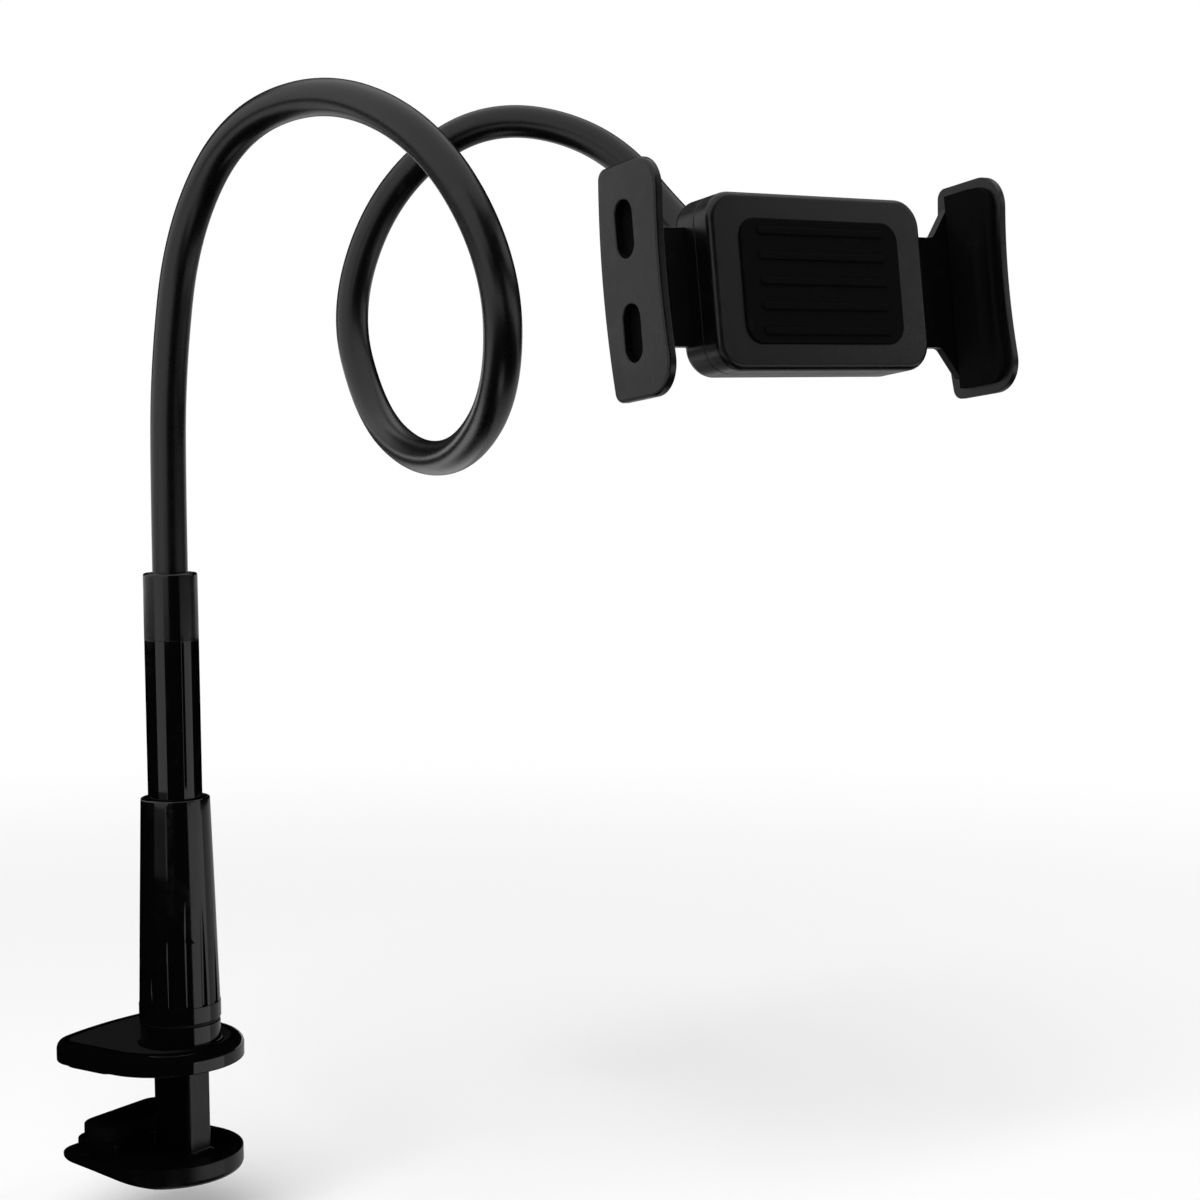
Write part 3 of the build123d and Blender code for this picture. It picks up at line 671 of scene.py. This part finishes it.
def endFerruleRows():
    # section round the neck's socket, along the nose and back through the stud's bore, turned
    n = neckEnd
    hole, foot, bore = n["hole"], -n["socket"], n["studRadius"] + n["studGap"]
    corners = [(hole, 0, 0), (hole, foot, n["holeEdge"]), (n["radius"], foot, n["edge"]),
               (n["radius"], n["floor"] - n["nose"], n["edge"]), (n["noseRadius"], n["floor"], n["noseEdge"]),
               (bore, n["floor"], n["studEdge"]), (bore, 0, 0)]
    return shell(onNeckEnd(turned(roundedPath(corners, steps=5, closed=True)), n["reach"]), loopRows=True)


def ballStudRows():
    # the stem, then the ball: r = R sin a, z = reach - R cos a
    n = neckEnd
    seat = math.asin(n["studNeck"] / n["ballRadius"])
    a = arcSteps(seat, math.pi - n["ballPole"], 40)
    ball = np.column_stack([np.sin(a), -np.cos(a)]) * n["ballRadius"] + (0, n["reach"])
    low, high, stud = n["stemGap"], n["floor"] + n["stemGap"], n["studRadius"]
    stem = np.array([(poleRadius, low), (stud, low), (stud, high), (n["studNeck"], high)])
    return shell(onNeckEnd(turned(np.concatenate([stem, ball]), count=64), n["reach"]))


piece("upper_ferrule", [endFerruleRows()], [satinFerrule], "arm", ["end_ferrule"])
piece("ball_and_stud", [ballStudRows()], [darkSteel], "ball", ["ball_stud"])

# clip housings: rounded boxes lying across the clip, as rings in x and z carried along the depth
clip = {"halfX": 42.0, "halfZ": 27.0, "corner": 9.0, "wall": 2.2, "front": 1.5, "split": 9.0, "back": 20.0,
        "skin": 4.0, "frontRound": 2.0, "backRound": 3.0, "seam": 0.3,
        "cushionX": 31.0, "cushionZ": 19.0, "cushionCorner": 6.0, "recess": 0.8, "recessGap": 0.1,
        "frontCore": (4.0, 3.0, 1.0), "rearSkin": 3.0, "rearGap": 0.15, "rearCore": 5.0,
        "screwInset": 5.6, "headRadius": 2.8, "headDepth": 3.1, "wellOver": 2.0,
        "tongueHalf": 18.15, "tongueFront": 13.65, "tongueBack": 17.15, "tongueCorner": 0.3,
        "tongueOver": 5.0, "collarRadius": 11.31, "collarBore": 9.76, "collarHeight": 8.0,
        "collarFoot": 1.0, "collarEdge": 0.4}


def boxRing(inset):  # the housings' outline, drawn in
    return rectRing(clip["halfX"] - inset, clip["halfZ"] - inset, clip["corner"] - inset)


def alongDepth(rows):
    # the rows' heights are depths behind the clip's face
    p = stack(rows)
    return onClip(p[..., [0, 2, 1]])


def frontHousingRows():
    # from the middle of the recess round the front and the wall to the middle of the inside
    c = clip
    recess = rectRing(c["cushionX"] + c["recessGap"], c["cushionZ"] + c["recessGap"], c["cushionCorner"])
    floor = c["front"] + c["recess"]
    inner = rectRing(*c["frontCore"])
    rows = [(inner, floor), (recess, floor), (recess, c["front"])]
    rows += edgeRows(boxRing, c["front"], c["split"], c["frontRound"], c["seam"], steps=6)
    rows += [(boxRing(c["wall"]), c["split"]), (boxRing(c["wall"]), c["skin"]), (inner, c["skin"])]
    return shell(alongDepth(rows))


def rearHousingRows():
    # from the middle of the inside round the wall, the back and the collar to its floor
    c = clip
    inside = c["back"] - c["rearSkin"] + c["rearGap"]
    inner = circleRing(c["rearCore"])
    rows = [(inner, inside), (boxRing(c["wall"]), inside), (boxRing(c["wall"]), c["split"])]
    rows += edgeRows(boxRing, c["split"], c["back"], c["seam"], c["backRound"], steps=7)
    r, foot, edge, bore = c["collarRadius"], c["collarFoot"], c["collarEdge"], circleRing(c["collarBore"])
    back, top = c["back"], c["back"] + c["collarHeight"]
    rows += [(circleRing(r + foot), back), (circleRing(r), back + foot), (circleRing(r), top - edge),
             (circleRing(r - edge), top), (bore, top), (bore, back), (inner, back)]
    return shell(alongDepth(rows))


piece("front_shell", [frontHousingRows()], [satinShell], "clip", ["front_housing"])
rearShell = objectOf("rear_shell", meshOf("rear_shell", [rearHousingRows()]))


def screwPlaces():
    x, z = clip["halfX"] - clip["screwInset"], clip["halfZ"] - clip["screwInset"]
    return [(x, z), (-x, z), (-x, -z), (x, -z)]


def slotCutters():
    # one bar through both side walls for the tongues, and a well for each screw head
    c = clip
    bar = rectRing(c["halfX"] + c["tongueOver"], c["tongueHalf"], c["tongueCorner"])
    cutters = [shell(alongDepth([(bar, c["tongueFront"]), (bar, c["tongueBack"])]))]
    seat, over = c["back"] - c["headDepth"], c["back"] + c["wellOver"]
    for place in screwPlaces():
        well = circleRing(c["headRadius"]) + place
        cutters.append(shell(alongDepth([(well, seat), (well, over)])))
    return cutters


for cutter in slotCutters():
    cut(rearShell, [cutter])
finishPiece(rearShell, [satinShell], "clip", ["rear_housing"])

# ribbed cushion
cushion = {"ribs": 5, "ribWidth": 2.4, "ribRise": 0.6, "ribRoot": 0.3, "edge": 0.5, "crispEdge": 0.02}


def cushionShells():
    # a slab with rounded corners, and round-ended ribs across it at even pitch
    c = clip
    face, floor = cushion["ribRise"], c["front"] + c["recess"]
    half, across = cushion["ribWidth"] / 2, c["cushionX"] - c["cushionCorner"]
    pitch = 2 * c["cushionZ"] / cushion["ribs"]

    def body(inset):
        return rectRing(c["cushionX"] - inset, c["cushionZ"] - inset, c["cushionCorner"] - inset)

    def rib(inset):
        return rectRing(across - inset, half - inset, (half - inset) * roundEnd)

    def eased(ringAt, low, high):
        return edgeRows(ringAt, low, high, cushion["edge"], cushion["crispEdge"], steps=5)

    shells = [shell(alongDepth(eased(body, face, floor)))]
    bar = eased(rib, 0.0, face + cushion["ribRoot"])
    for level in (np.arange(cushion["ribs"]) - (cushion["ribs"] - 1) / 2) * pitch:
        shells.append(shell(alongDepth([(ring + (0, level), depth) for ring, depth in bar])))
    return shells


piece("ribbed_cushion", cushionShells(), [rubber], "clip", ["front_cushion"])

# case screws: pan heads with a cross recess, in the wells of the rear shell
screw = {"headRadius": 2.7, "headHeight": 1.6, "crown": 0.7, "shankRadius": 1.4, "tip": 5.0,
         "crossHalf": 1.35, "crossWidth": 0.42, "crossHeart": 1.3, "crossDepth": 0.9, "crossTaper": 0.7}


def crossRing(scale, tiny=1e-4):
    # plus-shaped outline, given as a radius over the angle of the circle ring
    half, width = screw["crossHalf"] * scale, screw["crossWidth"] * scale
    ring = circleRing(1.0)
    t = np.arctan2(ring[:, 1], ring[:, 0])
    near = np.minimum(np.abs(np.cos(t)), np.abs(np.sin(t)))
    far = np.maximum(np.abs(np.cos(t)), np.abs(np.sin(t)))
    radius = np.minimum(half / far, np.maximum(width / np.maximum(near, tiny), width * screw["crossHeart"]))
    return ring * radius[:, None]


def screwShells():
    # shank, seat, a crown of quarter rounds and the cross that narrows inwards, at each place
    s = screw
    seatDepth = clip["back"] - clip["headDepth"]
    top = seatDepth + s["headHeight"]
    shank, r, e = circleRing(s["shankRadius"]), s["headRadius"], s["crown"]
    rows = [(shank, s["tip"]), (shank, seatDepth), (circleRing(r), seatDepth)]
    rows += [(circleRing(r - e * (1 - math.cos(t))), top - e * (1 - math.sin(t))) for t in quarterSteps(5)]
    rows += [(crossRing(1.0), top), (crossRing(s["crossTaper"]), top - s["crossDepth"])]
    return [shell(alongDepth([(ring + place, depth) for ring, depth in rows])) for place in screwPlaces()]


piece("case_screw_set", screwShells(), [darkSteel], "clip", ["case_screws"])

# sliding jaws: a hollow-fronted wall with two slots, a tongue into the housing, and a grooved pad
wall = {"inner": 66.4, "thick": 2.8, "half": 34.6, "flare": 0.3, "front": -11.4, "back": 18.1,
        "hollow": 2.8, "bow": 2.4, "frontCorner": 11.2, "backCorner": 3.0, "outerRound": 0.9,
        "innerRound": 0.25, "slotHalf": 8.5, "slotRadius": 4.3, "slotBack": 6.9, "slotPitch": 30.5,
        "slotEdge": 0.5, "slotOver": 1.0, "tongueHalf": 18.0, "tongueInner": 10.5, "tongueFront": 13.8,
        "tongueBack": 17.0, "tongueEdge": 0.3, "tongueCorner": 1.0, "rootHalf": 28.0, "rootRun": 8.0,
        "rootSweep": 3.0, "rootCorner": 0.6, "rootLap": 0.4, "lapCorner": 0.05}
gripPad = {"thick": 2.2, "inset": 3.2, "back": 13.6, "edge": 0.8, "grooveDepth": 1.0, "grooveHalf": 3.2,
           "grooveAt": -1.2, "rows": 61, "columns": 41}


def wallShape(ring):
    # grows taller towards the front; both edges bow backwards: y + (hollow to bow) (1 - (z / half)^2)
    w = wall
    flared = w["half"] + w["flare"]
    tall = 1 + w["flare"] / w["half"] * (w["back"] - ring[:, 0]) / (w["back"] - w["front"])
    z = ring[:, 1] * tall
    share = np.clip((w["back"] - ring[:, 0]) / (w["back"] - w["front"]), 0, 1)
    shift = w["bow"] + (w["hollow"] - w["bow"]) * share
    return np.column_stack([ring[:, 0] + shift * (1 - (z / flared)**2), z])


def wallRing(inset):
    # four rounded corners drawn in by the inset, then flared and bowed
    w = wall
    f, b, h = w["front"] + inset, w["back"] - inset, w["half"] - inset
    front, rear = w["frontCorner"] - inset, w["backCorner"] - inset
    corners = [(b, h, rear), (f, h, front), (f, -h, front), (b, -h, rear)]
    return wallShape(ringOf(corners, steps=16, runs=24))


def acrossClip(rows):
    # the rows' heights are distances from the clip's middle, and their rings lie in depth and height
    p = stack(rows)
    return np.stack([p[..., 2], p[..., 0], p[..., 1]], axis=-1)


def wallRows():
    # the wall's outline carried from its inner to its outer face, with rounded edges
    w = wall
    inner, outer = w["inner"], w["inner"] + w["thick"]
    return shell(acrossClip(edgeRows(wallRing, inner, outer, w["innerRound"], w["outerRound"], steps=6)))


def slotRows(level):
    # a prism through the wall that flares at both faces, which leaves a rounded edge
    w = wall
    e = w["slotEdge"]
    inner, outer = w["inner"], w["inner"] + w["thick"]

    def ring(out):
        r = w["slotRadius"] + out
        return rectRing(r, w["slotHalf"] + out, r * roundEnd, runs=4) + (w["slotBack"], level)

    a = quarterSteps(4)
    rows = [(ring(e), inner - w["slotOver"])]
    rows += [(ring(e * (1 - math.sin(t))), inner + e * (1 - math.cos(t))) for t in a]
    rows += [(ring(e * (1 - math.cos(t))), outer - e * (1 - math.sin(t))) for t in a]
    rows += [(ring(e), outer + w["slotOver"])]
    return shell(acrossClip(rows))


def tongueRows():
    # plan of the tongue in x and z, widening to the wall, with eased edges along its depth
    w = wall

    def plan(inset):
        t, r, end = w["tongueHalf"] - inset, w["rootHalf"] - inset, w["inner"]
        half = [(w["tongueInner"] + inset, t, w["tongueCorner"]), (end - w["rootRun"], t, w["rootSweep"]),
                (end - w["rootCorner"], r, w["rootCorner"]), (end + w["rootLap"], r, w["lapCorner"])]
        return roundedPath([(x, -z, c) for x, z, c in half] + half[::-1], steps=5, closed=True)

    rows = edgeRows(plan, w["tongueFront"], w["tongueBack"], w["tongueEdge"], w["tongueEdge"], steps=3)
    return shell(stack(rows)[..., [0, 2, 1]])


def padGrid():
    # section: flat grip face with a round groove, carried up the wall between its front and back edges
    w, g = wall, gripPad
    half = w["half"] + w["flare"] - g["inset"]
    r = w["frontCorner"] - g["inset"]
    v = np.sin(np.linspace(-math.pi / 2, math.pi / 2, g["rows"])) * roundEnd
    z = (v * half)[:, None]
    reach = np.maximum(np.abs(z) - (half - r), 0)
    front = w["front"] + g["inset"] + w["hollow"] * (1 - (z / half)**2) + r - np.sqrt(r**2 - reach**2)
    s = np.linspace(0, 1, g["columns"])[None]
    y = front + (g["back"] - front) * s
    bite = np.clip(1 - ((y - g["grooveAt"]) / g["grooveHalf"])**2, 0, 1) * g["grooveDepth"]
    margin = np.minimum(np.minimum(y - front, g["back"] - y), g["edge"])
    easing = g["edge"] - np.sqrt(np.maximum(g["edge"]**2 - (g["edge"] - margin)**2, 0))
    face = w["inner"] - g["thick"] + bite + easing
    rear = np.full_like(face, w["inner"])
    x = np.concatenate([face, rear[:, ::-1]], axis=1)
    y = np.concatenate([y, y[:, ::-1]], axis=1)
    tall = 1 - w["flare"] / half * (y - w["front"]) / (w["back"] - w["front"])
    return shell(np.stack([x, y, z * tall], axis=-1))


def ontoClip(mesh, sign):
    # from millimetres on the clip's right side to the clip's place in the frame, mirrored where sign is -1
    turn = np.column_stack([sign * clipAcross, clipBehind, clipUp]) * mm
    mesh.transform(Matrix.LocRotScale(Vector(clipOrigin), None, None) @ Matrix(turn.tolist()).to_4x4())
    if sign < 0:
        mesh.flip_normals()


def jawMesh():
    # the wall with its slots cut, and the tongue, in one mesh
    made = objectOf("jaw", meshOf("jaw", [wallRows()], 1.0))
    cut(made, [slotRows(level) for level in (wall["slotPitch"] / 2, -wall["slotPitch"] / 2)], 1.0)
    tongue = meshOf("tongue", [tongueRows()], 1.0)
    joined = bmesh.new()
    joined.from_mesh(made.data)
    joined.from_mesh(tongue)
    mesh = bpy.data.meshes.new("jaw")
    joined.to_mesh(mesh)
    joined.free()
    bpy.data.objects.remove(made)
    return mesh


for side, sign in (("left", -1), ("right", 1)):
    jawSide, padSide = jawMesh(), meshOf("pad", [padGrid()], 1.0)
    ontoClip(jawSide, sign)
    ontoClip(padSide, sign)
    body = f"{side}_jaw"
    finishPiece(objectOf(f"{side}_clip_jaw", jawSide), [satinShell], body, [body])
    finishPiece(objectOf(f"{side}_grip_pad", padSide), [rubber], body, [f"{body}_pad"])

# lock nut: turned and scalloped, round the clip's depth axis
nut = {"radius": 14.11, "low": 1.2, "high": 13.0, "lowEdge": 0.5, "edge": 1.0, "mouth": 8.2, "mouthEdge": 0.6,
       "inner": 11.41, "shoulder": 8.3, "throat": 9.86, "throatTop": 9.0, "lip": 8.8, "lipTop": 11.6,
       "scallops": 12, "scallopRadius": 2.2, "scallopDepth": 0.7}


def lockNutRows():
    # profile of (r, z, scalloped): round edges outside, a stepped bore inside
    n = nut
    r, e, f = n["radius"], n["edge"], n["lowEdge"]
    a = quarterSteps(5)
    lowEdge = [(r - f * (1 - math.sin(t)), n["low"] + f * (1 - math.cos(t)), 1) for t in a]
    highEdge = [(r - e * (1 - math.cos(t)), n["high"] - e * (1 - math.sin(t)), 1) for t in a]
    inside = [(n["mouth"] + n["mouthEdge"], n["high"], 0), (n["mouth"], n["high"] - n["mouthEdge"], 0),
              (n["mouth"], n["lipTop"], 0), (n["lip"], n["lipTop"], 0), (n["throat"], n["throatTop"], 0),
              (n["throat"], n["shoulder"], 0), (n["inner"], n["shoulder"], 0), (n["inner"], n["low"], 0)]
    axis = r + n["scallopRadius"] - n["scallopDepth"]
    rows = lobedRows(np.array(lowEdge + highEdge + inside), n["scallops"], axis, n["scallopRadius"], turn=0.0,
                     across=8, land=8)
    p = rows + (0, 0, clip["back"])
    return shell(onClip(np.stack([p[..., 0], p[..., 2], p[..., 1]], axis=-1)), loopRows=True)


piece("lock_nut_ring", [lockNutRows()], [satinShell], "lock_nut", ["lock_nut"])

# CAD pieces that stay as they are, with their finishes
kept = {"thrust_washer": bearingGrey, "snap_ring": darkSteel, "drive_nut": turnedBrass,
        "clamp_screw": plainSteel, "tube_bush": bearingGrey, "ball_socket": satinShell,
        "upper_spring": plainSteel, "lower_spring": plainSteel}
for name, material in kept.items():
    frame["nodes"][name].data.materials.clear()
    frame["nodes"][name].data.materials.append(material)
print("kept", len(kept), "frame pieces")

# camera: lens and sensor in millimetres, place in metres
view = {"lens": 67.5, "sensor": 36.0, "place": (-0.5059, -0.5083, 0.1959), "azimuth": -56.9, "pitch": 4.29,
        "roll": -0.51}


def addCamera():
    data = bpy.data.cameras.new("camera")
    data.lens, data.sensor_width = view["lens"], view["sensor"]
    camera = objectOf("camera", data)
    camera.location = view["place"]
    aim = Euler((math.radians(90 - view["pitch"]), 0, math.radians(view["azimuth"]))).to_matrix()
    camera.rotation_euler = (aim @ Matrix.Rotation(math.radians(view["roll"]), 3, "Z")).to_euler()
    bpy.context.scene.camera = camera


addCamera()

# studio: pale floor, white surroundings, a soft lamp, and dark flags that only gloss can see;
# in metres and degrees, but the clearance and the near flags in millimetres
studio = {"floorRadius": 4.0, "floorInner": 0.02, "floorSides": 64, "floorCentre": (0.08, -0.1),
          "floorRough": 0.9, "floorColor": (0.93, 0.93, 0.93), "clearance": 24.5,
          "fadeFrom": 0.22, "fadeTo": 1.1, "ambient": 0.55,
          "key": {"place": (-0.9, -0.5, 1.9), "target": (0.08, -0.1, 0.1), "size": 1.2, "power": 34},
          "flagDistance": 30.0, "flagAcross": 25, "flagUp": 17, "nearAcross": 49, "towardsCamera": 213.0,
          "flags": [(-21, 50, -24, -4, 1.0), (20, 130, -80, -24, 1.0), (-180, 20, -80, -38, 1.0),
                    (1, 50, -4, 38, 1.0), (50, 130, -4.5, 8, 1.0), (50, 75, 8, 38, 1.0),
                    (122, 130, 8, 38, 1.0), (75, 122, 30, 38, 1.0), (130, 235, 2, 38, 1.0),
                    (-180, -63, -15, -4, 1.0), (105, 180, -80, -3, 0.6)],
          "nearFlags": [(95, 180, 71, 125.5, 90, 90, 1.0), (50, 61, 75, 125.5, 90, 90, 1.0),
                        (-63, -21, 50, 74, 90, 90, 0.8), (-63, 10, -110, 50, 90, 90, 1.0),
                        (-180, -63, -110, 74, 90, 90, 1.0), (-180, 40, 40, 40, 14, 90, 1.0)],
          "hoods": [(40, 180, 40, 40, 13.5, 250, 1.0)]}


def addFloor():
    # a wide disc that fades to white, low enough to stay clear of the lowered jaw
    low = cadBox[0][2] - studio["clearance"] * mm
    t = np.linspace(0, 2 * math.pi, studio["floorSides"], endpoint=False)
    ring = np.column_stack([np.cos(t), np.sin(t)]) * studio["floorRadius"]
    rows = [(ring * scale + studio["floorCentre"], low) for scale in (1.0, studio["floorInner"])]
    floor = objectOf("floor", meshOf("floor", [shell(stack(rows), capLow=False)]))
    material = bpy.data.materials.new("pale floor")
    material.use_nodes = True
    tree = material.node_tree
    surface = tree.nodes["Principled BSDF"]
    surface.inputs["Base Color"].default_value = (*studio["floorColor"], 1)
    surface.inputs["Roughness"].default_value = studio["floorRough"]
    place = node(tree, "ShaderNodeTexCoord").outputs["Object"]
    length = node(tree, "ShaderNodeVectorMath", operation="LENGTH")
    tree.links.new(place, length.inputs[0])
    fade = rangeNode(tree, length.outputs["Value"], studio["fadeFrom"], studio["fadeTo"], 0.0, 1.0,
                     smooth=True)
    white = node(tree, "ShaderNodeEmission")
    mix = node(tree, "ShaderNodeMixShader")
    tree.links.new(fade, mix.inputs[0])
    tree.links.new(surface.outputs[0], mix.inputs[1])
    tree.links.new(white.outputs[0], mix.inputs[2])
    tree.links.new(mix.outputs[0], tree.nodes["Material Output"].inputs["Surface"])
    floor.data.materials.append(material)
    floor.visible_glossy = False


def addFlag(name, points, opacity, fromBelow=False):
    # a dark sheet on a grid of points that only reflections can see
    rows, cols = points.shape[:2]
    i, j = np.meshgrid(np.arange(rows - 1), np.arange(cols - 1), indexing="ij")
    quads = np.stack([i * cols + j, i * cols + j + 1, (i + 1) * cols + j + 1, (i + 1) * cols + j], axis=-1)
    mesh = bpy.data.meshes.new(name)
    mesh.from_pydata(points.reshape(-1, 3), [], quads.reshape(-1, 4).tolist())
    material = bpy.data.materials.new(name + " cloth")
    material.use_nodes = True
    surface = material.node_tree.nodes["Principled BSDF"]
    surface.inputs["Base Color"].default_value = (0, 0, 0, 1)
    surface.inputs["Specular IOR Level"].default_value = 0
    surface.inputs["Alpha"].default_value = opacity
    if fromBelow:
        above = node(material.node_tree, "ShaderNodeNewGeometry").outputs["Backfacing"]
        seen = rangeNode(material.node_tree, above, 0.0, 1.0, opacity, 0.0)
        material.node_tree.links.new(seen, surface.inputs["Alpha"])
    mesh.materials.append(material)
    flag = objectOf(name, mesh)
    flag.visible_camera = flag.visible_diffuse = flag.visible_shadow = flag.visible_transmission = False


def addFlags():
    # far flags are patches of a sphere: azimuth to the right of the camera's side, and elevation
    for k, (left, right, low, high, opacity) in enumerate(studio["flags"]):
        az = np.radians(studio["towardsCamera"] + np.linspace(left, right, studio["flagAcross"]))[None]
        el = np.radians(np.linspace(low, high, studio["flagUp"]))[:, None]
        p = np.stack([np.cos(el) * np.cos(az), np.cos(el) * np.sin(az), np.sin(el) + 0 * az], axis=-1)
        addFlag(f"flag_{k}", p * studio["flagDistance"], opacity)
    # near flags stand or lie round the column's axis: azimuth in the same way, heights and radii;
    # hoods are the same, but dark from below only
    sheets = studio["nearFlags"] + studio["hoods"]
    for k, (left, right, low, high, inner, outer, opacity) in enumerate(sheets):
        az = np.radians(studio["towardsCamera"] + np.linspace(left, right, studio["nearAcross"]))
        ring = np.column_stack([np.cos(az), np.sin(az)]) * mm
        rows = [(ring * inner + columnFoot[:2], low * mm), (ring * outer + columnFoot[:2], high * mm)]
        addFlag(f"near_flag_{k}", stack(rows), opacity, k >= len(studio["nearFlags"]))


def addWorld():
    world = bpy.data.worlds.new("studio")
    bpy.context.scene.world = world
    world.use_nodes = True
    tree = world.node_tree
    background = tree.nodes["Background"]
    rays = node(tree, "ShaderNodeLightPath")
    seen = mathNode(tree, "MAXIMUM", rays.outputs["Is Camera Ray"], rays.outputs["Is Glossy Ray"])
    seen = mathNode(tree, "MAXIMUM", seen, rays.outputs["Is Transmission Ray"])
    tree.links.new(rangeNode(tree, seen, 0.0, 1.0, studio["ambient"], 1.0), background.inputs["Strength"])
    background.inputs["Color"].default_value = (1, 1, 1, 1)


def addLamp(name, place, target, size, power):
    data = bpy.data.lights.new(name, "AREA")
    data.shape, data.size, data.energy = "DISK", size, power
    lamp = objectOf(name, data)
    lamp.location = place
    lamp.rotation_euler = (Vector(target) - Vector(place)).to_track_quat("-Z", "Y").to_euler()
    lamp.visible_glossy = False


addFloor()
addFlags()
addWorld()
addLamp("key", **studio["key"])
bpy.context.scene.view_settings.view_transform = "Standard"
print("studio ready")
